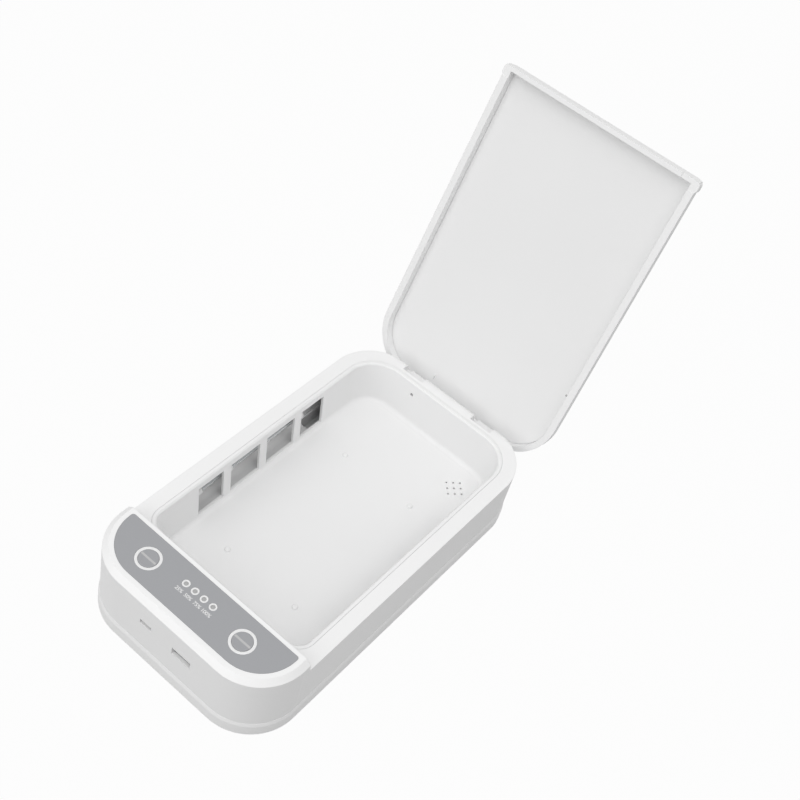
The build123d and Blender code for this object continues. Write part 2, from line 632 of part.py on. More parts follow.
def lamp_transformer():
    """Step-up transformer: winding between two core halves."""
    half_core = CORE_SIZE[2]
    core = Pos(0, CORE_Y, DRIVER_BOARD_TOP_Z + half_core / 2) * Box(*CORE_SIZE)
    upper = Pos(0, 0, half_core + WINDING_HEIGHT) * core
    winding_z = DRIVER_BOARD_TOP_Z + half_core
    winding = post(0, CORE_Y, winding_z, winding_z + WINDING_HEIGHT, WINDING_RADIUS)
    return core + upper + winding


# ---------------------------------------------------------------- lamps
def reflector():
    """Bent bright sheet behind the windows of the +X wall, open towards the chamber."""
    wall_x = CHAMBER_HALF_WIDTH + TRAY_WALL + REFLECTOR_TRAY_GAP
    inner_top_x = wall_x - (RIM_Z - REFLECTOR_TOP_Z) * sin(radians(CHAMBER_DRAFT))
    inner_bottom_x = wall_x - (RIM_Z - REFLECTOR_BOTTOM_Z) * sin(radians(CHAMBER_DRAFT))
    back = FilletPolyline(
        (inner_top_x, 0, REFLECTOR_TOP_Z),
        (REFLECTOR_BACK_X, 0, REFLECTOR_TOP_Z),
        (REFLECTOR_BACK_X, 0, REFLECTOR_BOTTOM_Z),
        (inner_bottom_x, 0, REFLECTOR_BOTTOM_Z),
        radius=REFLECTOR_BEND_RADIUS,
    )
    front = FilletPolyline(
        (inner_top_x, 0, REFLECTOR_TOP_Z - REFLECTOR_SHEET),
        (REFLECTOR_BACK_X - REFLECTOR_SHEET, 0, REFLECTOR_TOP_Z - REFLECTOR_SHEET),
        (REFLECTOR_BACK_X - REFLECTOR_SHEET, 0, REFLECTOR_BOTTOM_Z + REFLECTOR_SHEET),
        (inner_bottom_x, 0, REFLECTOR_BOTTOM_Z + REFLECTOR_SHEET),
        radius=REFLECTOR_BEND_RADIUS - REFLECTOR_SHEET,
    )
    ends = [Line(back @ t, front @ t) for t in (0, 1)]
    section = make_face([back, front, *ends])
    sheet = extrude(
        Pos(0, REFLECTOR_FRONT_Y, 0) * section, REFLECTOR_REAR_Y - REFLECTOR_FRONT_Y, dir=(0, 1, 0)
    )
    slot_half = LAMP_CLIP_WIDTH / 2 + REFLECTOR_TRAY_GAP
    slot = block(
        (LAMP_X - LAMP_RADIUS, LAMP_X + LAMP_CLIP_RING + REFLECTOR_TRAY_GAP),
        (LAMP_CLIP_Y - slot_half, LAMP_CLIP_Y + slot_half),
        (0, REFLECTOR_BOTTOM_Z + LAMP_CLIP_SLOT_RISE),
    )
    return sheet - slot


def lamp_tube():
    """Straight lamp tube with rounded ends, on the +X side."""
    tube = rod_y(LAMP_X, LAMP_FRONT_Y, LAMP_REAR_Y, LAMP_Z, LAMP_RADIUS)
    return fillet(tube.edges(), LAMP_END_ROUND)


def lamp_cap(end_y, way):
    """Soft cap over one end of the lamp, seated against the reflector's back; way points off the end."""
    outer = end_y + way * LAMP_CAP_OVERHANG
    low, high = sorted((outer, outer - way * LAMP_CAP_LENGTH))
    cap = rod_y(LAMP_X, low, high, LAMP_Z, LAMP_CAP_RADIUS)
    foot_z = (LAMP_Z - LAMP_CAP_FOOT / 2, LAMP_Z + LAMP_CAP_FOOT / 2)
    cap += block((LAMP_X, REFLECTOR_BACK_X - REFLECTOR_SHEET), (low, high), foot_z)
    return cap - rod_y(LAMP_X, LAMP_FRONT_Y, LAMP_REAR_Y, LAMP_Z, LAMP_RADIUS)


def lamp_clip():
    """Clip round the middle of the lamp, standing in the reflector's slot."""
    low, high = LAMP_CLIP_Y - LAMP_CLIP_WIDTH / 2, LAMP_CLIP_Y + LAMP_CLIP_WIDTH / 2
    clip = rod_y(LAMP_X, low, high, LAMP_Z, LAMP_RADIUS + LAMP_CLIP_RING)
    half_leg = LAMP_CLIP_RING
    leg_z = (REFLECTOR_BOTTOM_Z, LAMP_Z - LAMP_RADIUS)
    clip += block((LAMP_X - half_leg, LAMP_X + half_leg), (low, high), leg_z)
    return clip - rod_y(LAMP_X, LAMP_FRONT_Y, LAMP_REAR_Y, LAMP_Z, LAMP_RADIUS)


# ---------------------------------------------------------------- aroma cell and sensor
def aroma_pad():
    """Absorbent disc under the vent holes."""
    return post(*VENT_CENTRE, AROMA_HEATER_Z + AROMA_HEATER_THICKNESS, TRAY_UNDERSIDE_Z, AROMA_RADIUS)


def aroma_heater():
    """Thin warming plate under the pad."""
    return post(*VENT_CENTRE, AROMA_HEATER_Z, AROMA_HEATER_Z + AROMA_HEATER_THICKNESS, AROMA_RADIUS)


def lid_sensor():
    """Light sensor behind the small hole in the chamber's rear wall, on its strip of board."""
    half_chip = SENSOR_CHIP / 2
    chip = block(
        (SENSOR_X - half_chip, SENSOR_X + half_chip),
        (SENSOR_BOARD_Y[0] - SENSOR_CHIP_DEPTH, SENSOR_BOARD_Y[0]),
        (SENSOR_Z - half_chip, SENSOR_Z + half_chip),
    )
    half_strip = SENSOR_BOARD_WIDTH / 2
    return chip + block((SENSOR_X - half_strip, SENSOR_X + half_strip), SENSOR_BOARD_Y, SENSOR_BOARD_Z)


# ---------------------------------------------------------------- wiring
def lamp_lead():
    """Lead from the driver board to the front end of the lamp on the +X side."""
    return wire(
        (
            (20.0, -88.5, DRIVER_BOARD_TOP_Z + WIRE_RADIUS),
            (22.0, -85.0, 9.5),
            (40.0, -84.0, 12.0),
            (52.6, -74.0, 17.0),
            (54.5, -62.0, 27.0),
            (54.5, -49.0, LAMP_Z),
            (LAMP_X, -46.0, LAMP_Z),
            (LAMP_X, LAMP_FRONT_Y - 2.0, LAMP_Z),
        ),
        bend=1.4,
    )


def aroma_lead():
    """Lead from the driver board to the warming plate, along the floor of the shell."""
    x, y = VENT_CENTRE
    return wire(
        (
            (16.0, -88.5, DRIVER_BOARD_TOP_Z + WIRE_RADIUS),
            (16.0, -84.5, DRIVER_BOARD_TOP_Z + WIRE_RADIUS),
            (16.0, -72.0, LEAD_FLOOR_Z),
            (16.0, 54.0, LEAD_FLOOR_Z),
            (x, y - 22.0, LEAD_FLOOR_Z),
            (x, y - 16.0, AROMA_HEATER_Z + 0.8),
            (x, y - AROMA_RADIUS - 0.1, AROMA_HEATER_Z + 0.8),
        ),
        bend=2.0,
    )


def sensor_lead():
    """Lead from the main board to the light sensor, along the floor and up the rear wall."""
    return wire(
        (
            (-22.0, -88.0, MAIN_BOARD_TOP_Z + WIRE_RADIUS),
            (-22.0, -84.8, MAIN_BOARD_TOP_Z + WIRE_RADIUS),
            (-22.0, -82.0, LEAD_FLOOR_Z),
            (-22.0, 108.1, LEAD_FLOOR_Z),
            (-22.0, 108.1, 25.9),
        ),
        bend=1.5,
    )


def button_ribbon():
    """Flat ribbon between the main board and the button board."""
    return block((-7.0, 7.0), (-87.4, -86.8), (MAIN_BOARD_TOP_Z, BUTTON_BOARD_BOTTOM_Z))


# ---------------------------------------------------------------- fasteners
def screw(x, y, head_z, length, shaft_radius, head_radius, way=1):
    """Slotted screw that points up from under its head, or down from above it when way is -1."""
    shaft = post(x, y, *sorted((head_z, head_z + way * length)), shaft_radius)
    head_height = 0.7 * head_radius
    head_end = head_z - way * head_height
    head = post(x, y, *sorted((head_z, head_end)), head_radius)
    slot_z = sorted((head_end, head_end + way * head_height / 2))
    slot = block((x - head_radius, x + head_radius), (y - SLOT_HALF_WIDTH, y + SLOT_HALF_WIDTH), slot_z)
    return shaft + head - slot


def case_screws():
    """Screws that hold the bottom shell to the housing."""
    screws = [
        screw(x, y, CASE_SCREW_HEAD_Z, CASE_SCREW_LENGTH, SCREW_RADIUS, SCREW_HEAD_RADIUS)
        for x, y in CASE_SCREWS
    ]
    return Compound(children=screws)


def board_screws():
    """Small screws of the three boards."""
    places = [(x, y, BUTTON_BOARD_BOTTOM_Z, SMALL_SCREW_LENGTH, 1) for x, y in BUTTON_BOARD_SCREWS]
    places += [(x, y, MAIN_BOARD_TOP_Z, SMALL_SCREW_LENGTH, -1) for x, y in MAIN_BOARD_SCREWS]
    places += [(x, y, DRIVER_BOARD_TOP_Z, DRIVER_SCREW_LENGTH, -1) for x, y in DRIVER_BOARD_SCREWS]
    screws = [
        screw(x, y, head_z, length, SMALL_SCREW_RADIUS, SMALL_SCREW_HEAD_RADIUS, way)
        for x, y, head_z, length, way in places
    ]
    return Compound(children=screws)


# ---------------------------------------------------------------- lid and hinge
def lid_keep():
    """Space behind the console, where the lid lies when closed."""
    return block((-FAR, FAR), (LID_FRONT_Y, FAR), (0, FAR))


def lid_inside(gap, low, high):
    """Prism of the lid's inside outline, moved inwards by gap from its walls."""
    side, end = LID_SIDE_WALL + gap, LID_WALL + gap
    radius = CORNER_RADIUS - side
    inner = slab(plan(HALF_WIDTH - side, end - HALF_LENGTH, HALF_LENGTH - end, radius, radius), low, high)
    return inner & block((-FAR, FAR), (LID_FRONT_Y + end, FAR), (0, FAR))


def finger_tab(side):
    """Small proud tab at one front corner of the lid."""
    outer = HALF_WIDTH + TAB_PROUD
    low, high = sorted((side * (HALF_WIDTH - TAB_ROOT), side * outer))
    tab = block((low, high), (LID_FRONT_Y, LID_FRONT_Y + TAB_LENGTH), (LID_RIM_Z, BEVEL_Z))
    edges = [edge for edge in tab.edges().filter_by(Axis.Z) if abs(edge.center().X) > HALF_WIDTH]
    return fillet(edges, TAB_ROUND)


def hinge_arm(x):
    """Arm from the lid's rear wall down to its barrel on the hinge pin."""
    half = HINGE_ARM_WIDTH / 2
    barrel = rod_x(x - half, x + half, HINGE_Y, HINGE_Z, HINGE_BARREL_RADIUS)
    depth = (HINGE_Y - HINGE_ARM_FRONT, HALF_LENGTH - HINGE_ARM_INSET)
    return barrel + block((x - half, x + half), depth, (HINGE_Z, LID_RIM_Z + HINGE_ARM_RISE))


def lid_shell():
    """Lid with a bevelled top, deep rim walls, finger tabs and two hinge arms."""
    shell = bevelled(body_plan(), LID_RIM_Z) & lid_keep()
    shell -= lid_inside(0.0, LID_RIM_Z, TOP_Z - LID_PLATE)
    for side in (-1, 1):
        shell += finger_tab(side)
        corner = sorted((side * (HALF_WIDTH - TAB_RELIEF_WIDTH), side * FAR))
        relief_y = (LID_FRONT_Y, LID_FRONT_Y + TAB_LENGTH)
        shell -= block(corner, relief_y, (LID_RIM_Z, LID_RIM_Z + TAB_RELIEF))
        shell += hinge_arm(side * HINGE_X)
    pin_hole = HINGE_PIN_RADIUS + HINGE_RUNNING_GAP
    shell -= rod_x(-HALF_WIDTH, HALF_WIDTH, HINGE_Y, HINGE_Z, pin_hole)
    return opened(shell)


def lid_liner():
    """Thin inner sheet of the lid."""
    return opened(lid_inside(FIT_GAP, LINER_Z, LINER_Z + LINER_THICKNESS))


def hinge_pin(x):
    """Steel pin through two ears of the housing and one barrel of the lid."""
    half = HINGE_NOTCH_WIDTH / 2 + HINGE_EAR
    return rod_x(x - half, x + half, HINGE_Y, HINGE_Z, HINGE_PIN_RADIUS)


# ---------------------------------------------------------------- the assembly
def parts():
    """Every piece by name."""
    pieces = {
        "bottom_shell": bottom_shell(),
        "main_housing": main_housing(),
        "chamber_tray": chamber_tray(),
        "control_panel": control_panel(),
        "button_board": button_board(),
        "status_leds": status_leds(),
        "main_board": main_board(),
        "usb_a_port": port_shell(USB_A_X, USB_A_WIDTH, USB_A_HEIGHT, USB_A_DEPTH),
        "usb_a_tongue": port_tongue(USB_A_X, USB_A_TONGUE[0], USB_A_HEIGHT, USB_A_DEPTH, USB_A_TONGUE[1]),
        "micro_usb_port": port_shell(MICRO_X, MICRO_WIDTH, MICRO_HEIGHT, MICRO_DEPTH),
        "micro_usb_tongue": port_tongue(MICRO_X, MICRO_TONGUE[0], MICRO_HEIGHT, MICRO_DEPTH, MICRO_TONGUE[1]),
        "lamp_driver_board": driver_board(),
        "lamp_transformer": lamp_transformer(),
        "aroma_pad": aroma_pad(),
        "aroma_heater": aroma_heater(),
        "lid_sensor": lid_sensor(),
        "aroma_lead": aroma_lead(),
        "sensor_lead": sensor_lead(),
        "button_ribbon": button_ribbon(),
        "case_screws": case_screws(),
        "board_screws": board_screws(),
        "lid_shell": lid_shell(),
        "lid_liner": lid_liner(),
    }
    for name, x in (("uv", -BUTTON_X), ("aroma", BUTTON_X)):
        pieces[f"{name}_light_ring"] = light_ring(x)
        pieces[f"{name}_button"] = button_cap(x)
        pieces[f"{name}_switch"] = switch_body(x)
        pieces[f"{name}_switch_plunger"] = switch_plunger(x)
    for number, x in enumerate(light_places(), start=1):
        pieces[f"charge_light_{number}"] = light_pipe(x)
    for place, (x, y) in zip(("front_left", "front_right", "rear_left", "rear_right"), foot_places()):
        pieces[f"foot_{place}"] = foot(x, y)
    right_lamp = {
        "reflector": reflector(),
        "uv_lamp": lamp_tube(),
        "lamp_front_cap": lamp_cap(LAMP_FRONT_Y, -1),
        "lamp_rear_cap": lamp_cap(LAMP_REAR_Y, 1),
        "lamp_clip": lamp_clip(),
        "lamp_lead": lamp_lead(),
        "hinge_pin": hinge_pin(HINGE_X),
    }
    for name, piece in right_lamp.items():
        pieces[f"{name}_right"] = piece
        pieces[f"{name}_left"] = mirrored(piece)
    return pieces


os.makedirs("parts", exist_ok=True)
for node, piece in parts().items():
    export_step(piece, f"parts/{node}.step")
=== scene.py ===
"""Looks of a UV sanitizer box for phones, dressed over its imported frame.

The casing, the lid and the inner works are the frame's own nodes and only get their finishes here.
What a hand or an eye comes close to is built anew as surfaces worked out with numpy: button caps,
light rings, charge lights, lamp tubes, rubber feet, port contacts, panel printing and the small
marks that moulding leaves inside the lid. Everything is in metres, in the frame's own axes:
+X to the right, +Y from the console to the hinge, +Z up.
"""
from __future__ import annotations

import json
import logging
import math
from dataclasses import dataclass
from enum import Enum
from typing import Any, Iterable, Mapping, Sequence

import bpy
import numpy as np
from mathutils import Matrix, Vector


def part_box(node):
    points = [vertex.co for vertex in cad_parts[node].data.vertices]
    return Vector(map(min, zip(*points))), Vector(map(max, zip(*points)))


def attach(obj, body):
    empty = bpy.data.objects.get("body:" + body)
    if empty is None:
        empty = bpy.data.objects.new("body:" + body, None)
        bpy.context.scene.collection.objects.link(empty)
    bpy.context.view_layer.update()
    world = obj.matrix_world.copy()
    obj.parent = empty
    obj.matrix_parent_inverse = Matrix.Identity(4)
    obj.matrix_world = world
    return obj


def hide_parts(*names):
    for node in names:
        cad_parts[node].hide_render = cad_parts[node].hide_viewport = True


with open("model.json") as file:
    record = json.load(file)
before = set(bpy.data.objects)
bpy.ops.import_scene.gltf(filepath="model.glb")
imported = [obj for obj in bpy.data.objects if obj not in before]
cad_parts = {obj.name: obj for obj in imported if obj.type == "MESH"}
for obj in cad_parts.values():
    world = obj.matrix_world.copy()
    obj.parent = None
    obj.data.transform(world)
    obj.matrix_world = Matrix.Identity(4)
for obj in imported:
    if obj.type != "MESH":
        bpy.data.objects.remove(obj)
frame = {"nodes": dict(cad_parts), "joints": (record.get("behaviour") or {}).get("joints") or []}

LOG = logging.getLogger("sanitizer_box")
MM = 0.001
Colour = tuple[float, float, float]


class Side(Enum):
    """The two long sides of the box."""

    LEFT = -1
    RIGHT = 1

    @property
    def word(self) -> str:
        """The side's name as the frame's nodes spell it."""
        return self.name.lower()


# ------------------------------------------------------------------ shader maths
class Value:
    """A number, colour or vector that runs through a material's nodes.

    Arithmetic on it adds Math nodes, so that shader maths reads as Python.
    """

    def __init__(self, graph: "Graph", socket: bpy.types.NodeSocket) -> None:
        """Wrap one output socket of a graph."""
        self.graph = graph
        self.socket = socket

    def _math(self, operation: str, *operands: "Value | float") -> "Value":
        """Add one Math node to the graph."""
        return self.graph.node("ShaderNodeMath", {"operation": operation}, dict(enumerate(operands)))

    def __add__(self, other: "Value | float") -> "Value":
        """Sum."""
        return self._math("ADD", self, other)

    __radd__ = __add__

    def __rsub__(self, other: "Value | float") -> "Value":
        """A number less this."""
        return self._math("SUBTRACT", other, self)

    def __mul__(self, other: "Value | float") -> "Value":
        """Product."""
        return self._math("MULTIPLY", self, other)

    __rmul__ = __mul__

    def __lt__(self, other: "Value | float") -> "Value":
        """1 where this is the smaller one, else 0."""
        return self._math("LESS_THAN", self, other)

    def __gt__(self, other: "Value | float") -> "Value":
        """1 where this is the larger one, else 0."""
        return self._math("GREATER_THAN", self, other)

    def repeated(self, period: float) -> "Value":
        """Distance from the nearest even multiple of a period."""
        return self._math("PINGPONG", self, period)


class Graph:
    """The node tree of one new material."""

    def __init__(self, name: str) -> None:
        """Start an empty material.

        Args:
            name: The material's name.
        """
        self.material = bpy.data.materials.new(name)
        self.material.use_nodes = True
        self.tree = self.material.node_tree
        self.tree.nodes.clear()

    def node(
        self,
        kind: str,
        settings: Mapping[str, Any] | None = None,
        inputs: Mapping[str | int, Any] | None = None,
        output: str | int = 0,
    ) -> Value:
        """Add one node.

        Args:
            kind: The node's type.
            settings: Its own properties, set before its sockets. The key "stops" fills a ramp with
                (position, colour) pairs.
            inputs: Values or links of its sockets, by name or number.
            output: Which of its outputs to hand back.

        Returns:
            That output.
        """
        node = self.tree.nodes.new(kind)
        for key, value in (settings or {}).items():
            if key == "stops":
                self._fill_ramp(node, value)
            else:
                setattr(node, key, value)
        for key, value in (inputs or {}).items():
            if isinstance(value, Value):
                self.tree.links.new(value.socket, node.inputs[key])
            else:
                node.inputs[key].default_value = value
        return Value(self, node.outputs[output])

    @staticmethod
    def _fill_ramp(node: bpy.types.Node, stops: Sequence[tuple[float, Colour]]) -> None:
        """Give a Color Ramp node its stops."""
        elements = node.color_ramp.elements
        while len(elements) < len(stops):
            elements.new(1.0)
        for element, (position, colour) in zip(elements, stops):
            element.position = position
            element.color = (*colour, 1.0)

    def place(self, stretch: Sequence[float] = (1.0, 1.0, 1.0)) -> Value:
        """Object coordinates, stretched along each axis by its factor."""
        coordinates = self.node("ShaderNodeTexCoord", output="Object")
        return self.node("ShaderNodeMapping", inputs={"Vector": coordinates, "Scale": stretch})

    def noise(self, place: Value, size: float, detail: float = 2.0) -> Value:
        """Soft noise from 0 to 1.

        Args:
            place: Where it is read.
            size: Rough size of its blotches, in metres.
            detail: Octaves.

        Returns:
            The noise.
        """
        inputs = {"Vector": place, "Scale": 1 / size, "Detail": detail}
        return self.node("ShaderNodeTexNoise", inputs=inputs)

    def mix(self, factor: Value | float, first: Value | Colour, second: Value | Colour) -> Value:
        """Mix two colours.

        Args:
            factor: 0 for the first, 1 for the second.
            first: A colour.
            second: Another.

        Returns:
            The mixed colour.
        """
        colours = [c if isinstance(c, Value) else (*c, 1.0) for c in (first, second)]
        inputs = {0: factor, 6: colours[0], 7: colours[1]}
        return self.node("ShaderNodeMix", {"data_type": "RGBA"}, inputs, output=2)

    def bump(self, height: Value, depth: float, normal: Value | None = None) -> Value:
        """Turn a height from 0 to 1 into a normal.

        Args:
            height: The relief.
            depth: Its depth in metres.
            normal: A normal to start from.

        Returns:
            The new normal.
        """
        inputs = {"Height": height, "Distance": depth, "Strength": 1.0}
        if normal is not None:
            inputs["Normal"] = normal
        return self.node("ShaderNodeBump", inputs=inputs)

    def soft_edges(self, radius: float) -> Value:
        """Normal that runs smoothly over edges, as on a moulded or rolled edge of that radius."""
        return self.node("ShaderNodeBevel", {"samples": 6}, {"Radius": radius})

    def surface(self, **inputs: Any) -> Value:
        """A Principled surface.

        Args:
            **inputs: Its sockets, with underscores for spaces.

        Returns:
            The shader.
        """
        sockets = {key.replace("_", " "): value for key, value in inputs.items()}
        sockets = {
            key: (*value, 1.0) if isinstance(value, tuple) and len(value) == 3 else value
            for key, value in sockets.items()
        }
        return self.node("ShaderNodeBsdfPrincipled", inputs=sockets)

    def finish(self, shader: Value) -> bpy.types.Material:
        """Lead a shader to the material's output.

        Args:
            shader: The finished surface.

        Returns:
            The material.
        """
        output = self.tree.nodes.new("ShaderNodeOutputMaterial")
        self.tree.links.new(shader.socket, output.inputs["Surface"])
        return self.material


def shade(colour: Colour, factor: float) -> Colour:
    """A colour made lighter or darker."""
    return (colour[0] * factor, colour[1] * factor, colour[2] * factor)


def tinted(red: float, green: float, blue: float) -> Colour:
    """A colour from its sRGB levels, each above 10 and up to 255."""
    linear = [((level / 255 + 0.055) / 1.055) ** 2.4 for level in (red, green, blue)]
    return (linear[0], linear[1], linear[2])


def grey(level: float) -> Colour:
    """A neutral colour from its sRGB level."""
    return tinted(level, level, level)


# ------------------------------------------------------------------ finishes
@dataclass(frozen=True)
class Finish:
    """One finish. A subclass says how its surface is built; a material is made once per finish."""

    name: str

    def shader(self, graph: Graph) -> Value:
        """Build the surface in a graph."""
        raise NotImplementedError

    def material(self) -> bpy.types.Material:
        """The finish as a material, made when it is first asked for.

        Returns:
            The material.
        """
        found = bpy.data.materials.get(self.name)
        if found is not None and found.get("finish") == repr(self):
            return found
        graph = Graph(self.name)
        material = graph.finish(self.shader(graph))
        material["finish"] = repr(self)
        return material


@dataclass(frozen=True)
class MouldedPlastic(Finish):
    """Moulded plastic: fine spark-eroded grain, faint flow shading and small edge radii."""

    colour: Colour = (0.8, 0.8, 0.8)
    roughness: float = 0.5
    grain: float = 0.7 * MM
    grain_depth: float = 0.004 * MM
    edge_radius: float = 0.35 * MM

    def shader(self, graph: Graph) -> Value:
        """Noise gives grain, flow and roughness; the edges run smooth over their radius."""
        place = graph.place()
        grain = graph.noise(place, self.grain, 3.0)
        flow = graph.noise(place, 60 * MM)
        normal = graph.bump(grain, self.grain_depth, graph.soft_edges(self.edge_radius))
        return graph.surface(
            Base_Color=graph.mix(flow, shade(self.colour, 0.985), shade(self.colour, 1.01)),
            Roughness=grain * 0.12 + (self.roughness - 0.06),
            Normal=normal,
            IOR=1.46,
        )


@dataclass(frozen=True)
class PanelFilm(Finish):
    """Printed grey film: an even tone with a very fine speckle."""

    colour: Colour = (0.35, 0.35, 0.36)
    roughness: float = 0.42

    def shader(self, graph: Graph) -> Value:
        """A fine speckle in colour and relief."""
        speckle = graph.noise(graph.place(), 0.5 * MM, 2.0)
        return graph.surface(
            Base_Color=graph.mix(speckle, shade(self.colour, 0.96), shade(self.colour, 1.04)),
            Roughness=speckle * 0.1 + (self.roughness - 0.05),
            Normal=graph.bump(speckle, 0.003 * MM, graph.soft_edges(0.2 * MM)),
            IOR=1.47,
        )


@dataclass(frozen=True)
class Ink(Finish):
    """Screen-printed ink, slightly thin in places."""

    colour: Colour = (0.8, 0.8, 0.8)

    def shader(self, graph: Graph) -> Value:
        """A faint mottle, as of a thin print."""
        mottle = graph.noise(graph.place(), 0.3 * MM, 1.0)
        return graph.surface(
            Base_Color=graph.mix(mottle, shade(self.colour, 0.93), self.colour), Roughness=0.55, IOR=1.45
        )


@dataclass(frozen=True)
class Diffuser(Finish):
    """Translucent plastic that spreads a light behind it."""

    colour: Colour = (0.85, 0.85, 0.87)
    roughness: float = 0.3

    def shader(self, graph: Graph) -> Value:
        """A milky colour that clouds a little."""
        cloud = graph.noise(graph.place(), 2.5 * MM)
        return graph.surface(
            Base_Color=graph.mix(cloud, shade(self.colour, 0.97), self.colour),
            Roughness=self.roughness,
            Coat_Weight=0.25,
            Coat_Roughness=0.15,
            IOR=1.49,
        )


@dataclass(frozen=True)
class BrightSheet(Finish):
    """Bright rolled metal sheet with faint lines along its rolling direction."""

    colour: Colour = (0.62, 0.62, 0.63)
    roughness: float = 0.25
    along: tuple[float, float, float] = (1.0, 0.04, 1.0)
    metallic: float = 1.0
    line_depth: float = 0.004 * MM

    def shader(self, graph: Graph) -> Value:
        """Noise drawn out along the sheet gives its rolling lines."""
        lines = graph.noise(graph.place(stretch=self.along), 0.4 * MM, 3.0)
        cloud = graph.noise(graph.place(), 9 * MM)
        return graph.surface(
            Base_Color=graph.mix(cloud, shade(self.colour, 0.95), shade(self.colour, 1.03)),
            Metallic=self.metallic,
            Roughness=lines * 0.12 + (self.roughness - 0.06),
            Normal=graph.bump(lines, self.line_depth),
        )


@dataclass(frozen=True)
class LampGlass(Finish):
    """Clear tube glass."""

    colour: Colour = (0.95, 0.97, 0.98)

    def shader(self, graph: Graph) -> Value:
        """Clear glass, a shade milky where the tube was worked."""
        haze = graph.noise(graph.place(), 6 * MM)
        return graph.surface(
            Base_Color=self.colour, Roughness=haze * 0.06 + 0.02, Transmission_Weight=0.9, IOR=1.47
        )


@dataclass(frozen=True)
class Rubber(Finish):
    """Soft rubber or silicone: dull, with a dusty bloom."""

    colour: Colour = (0.5, 0.5, 0.5)
    roughness: float = 0.75

    def shader(self, graph: Graph) -> Value:
        """A dusty bloom and a fine matt texture."""
        bloom = graph.noise(graph.place(), 3 * MM, 4.0)
        skin = graph.noise(graph.place(), 0.25 * MM)
        return graph.surface(
            Base_Color=graph.mix(bloom, shade(self.colour, 0.93), shade(self.colour, 1.04)),
            Roughness=bloom * 0.1 + (self.roughness - 0.05),
            Normal=graph.bump(skin, 0.01 * MM),
            IOR=1.5,
        )


@dataclass(frozen=True)
class PlatedSteel(Finish):
    """Zinc or nickel plated steel with turning or drawing marks."""

    colour: Colour = (0.5, 0.5, 0.51)
    roughness: float = 0.32

    def shader(self, graph: Graph) -> Value:
        """Fine marks in roughness and relief."""
        marks = graph.noise(graph.place(stretch=(1.0, 1.0, 0.1)), 0.2 * MM, 3.0)
        return graph.surface(
            Base_Color=graph.mix(marks, shade(self.colour, 0.9), shade(self.colour, 1.05)),
            Metallic=1.0,
            Roughness=marks * 0.14 + (self.roughness - 0.07),
            Normal=graph.bump(marks, 0.004 * MM),
        )


@dataclass(frozen=True)
class CircuitBoard(Finish):
    """Green solder resist with raised copper tracks on a square pitch."""

    colour: Colour = (0.01, 0.11, 0.045)
    pitch: float = 1.6 * MM

    def shader(self, graph: Graph) -> Value:
        """Tracks where the place, folded by the pitch, is near a fold; noise picks where they run."""
        place = graph.place()
        split = {"Vector": place}
        across = graph.node("ShaderNodeSeparateXYZ", inputs=split, output="X").repeated(self.pitch)
        along = graph.node("ShaderNodeSeparateXYZ", inputs=split, output="Y").repeated(self.pitch)
        choice = graph.noise(place, 7 * MM) > 0.5
        track = (across < 0.25 * MM) * choice + (along < 0.25 * MM) * (1 - choice)
        return graph.surface(
            Base_Color=graph.mix(track, self.colour, shade(self.colour, 1.9)),
            Roughness=0.32,
            Normal=graph.bump(track, 0.03 * MM),
            Coat_Weight=0.4,
        )


@dataclass(frozen=True)
class Felt(Finish):
    """Pressed felt: short matted fibres."""

    colour: Colour = (0.78, 0.78, 0.76)

    def shader(self, graph: Graph) -> Value:
        """Matted fibres as fine noise in tone and relief."""
        fibre = graph.noise(graph.place(), 0.35 * MM, 6.0)
        return graph.surface(
            Base_Color=graph.mix(fibre, shade(self.colour, 0.8), self.colour),
            Roughness=0.95,
            Normal=graph.bump(fibre, 0.15 * MM),
        )


@dataclass(frozen=True)
class WireJacket(Finish):
    """Extruded jacket of a thin lead, with faint die lines."""

    colour: Colour = (0.7, 0.7, 0.7)

    def shader(self, graph: Graph) -> Value:
        """Faint variation along the lead."""
        lines = graph.noise(graph.place(), 1.2 * MM)
        return graph.surface(
            Base_Color=graph.mix(lines, shade(self.colour, 0.94), self.colour),
            Roughness=lines * 0.1 + 0.4,
            Normal=graph.bump(lines, 0.008 * MM),
        )


CASING = MouldedPlastic("casing_white", grey(238), 0.46)
LINER = MouldedPlastic("liner_white", grey(236), 0.42, edge_radius=0.45 * MM)
LID_SHEET = MouldedPlastic("lid_sheet_white", grey(234), 0.5, grain=1.1 * MM, grain_depth=0.006 * MM)
PANEL = PanelFilm("panel_grey", tinted(158, 159, 162))
CAP = PanelFilm("cap_grey", tinted(157, 158, 161), 0.4)
PRINT = Ink("print_white", grey(226))
FAINT_PRINT = Ink("print_faint", grey(188))
DIFFUSER = Diffuser("ring_diffuser", grey(232))
LENS = Diffuser("charge_lens", grey(170))
REFLECTOR = BrightSheet("reflector_sheet", grey(216), 0.5, metallic=0.3, line_depth=0.001 * MM)
GLASS = LampGlass("lamp_glass")
ELECTRODE = PlatedSteel("electrode_nickel", (0.45, 0.45, 0.46), 0.25)
SILICONE = Rubber("cap_silicone", grey(225), 0.6)
CLIP = MouldedPlastic("clip_white", grey(226), 0.5, edge_radius=0.15 * MM)
PORT_SHEET = PlatedSteel("port_sheet", (0.82, 0.82, 0.82), 0.42)
INSULATOR = MouldedPlastic("insulator_pale", grey(226), 0.5, edge_radius=0.1 * MM)
CONTACT = PlatedSteel("contact_gilt", (0.9, 0.62, 0.25), 0.25)
BOARD = CircuitBoard("board_green")
CHIP_RESIN = Diffuser("chip_resin", (0.8, 0.74, 0.4), 0.25)
SENSOR_RESIN = Diffuser("sensor_resin", grey(48), 0.3)
# Real ferrite grey on the transformer; the same dark grey is also painted shade on the lid's gate mark.
FERRITE_AND_PAINTED_SHADE = MouldedPlastic("ferrite_grey_and_painted_shade", grey(62), 0.7, grain_depth=0.02 * MM, edge_radius=0.1 * MM)
FELT = Felt("pad_felt")
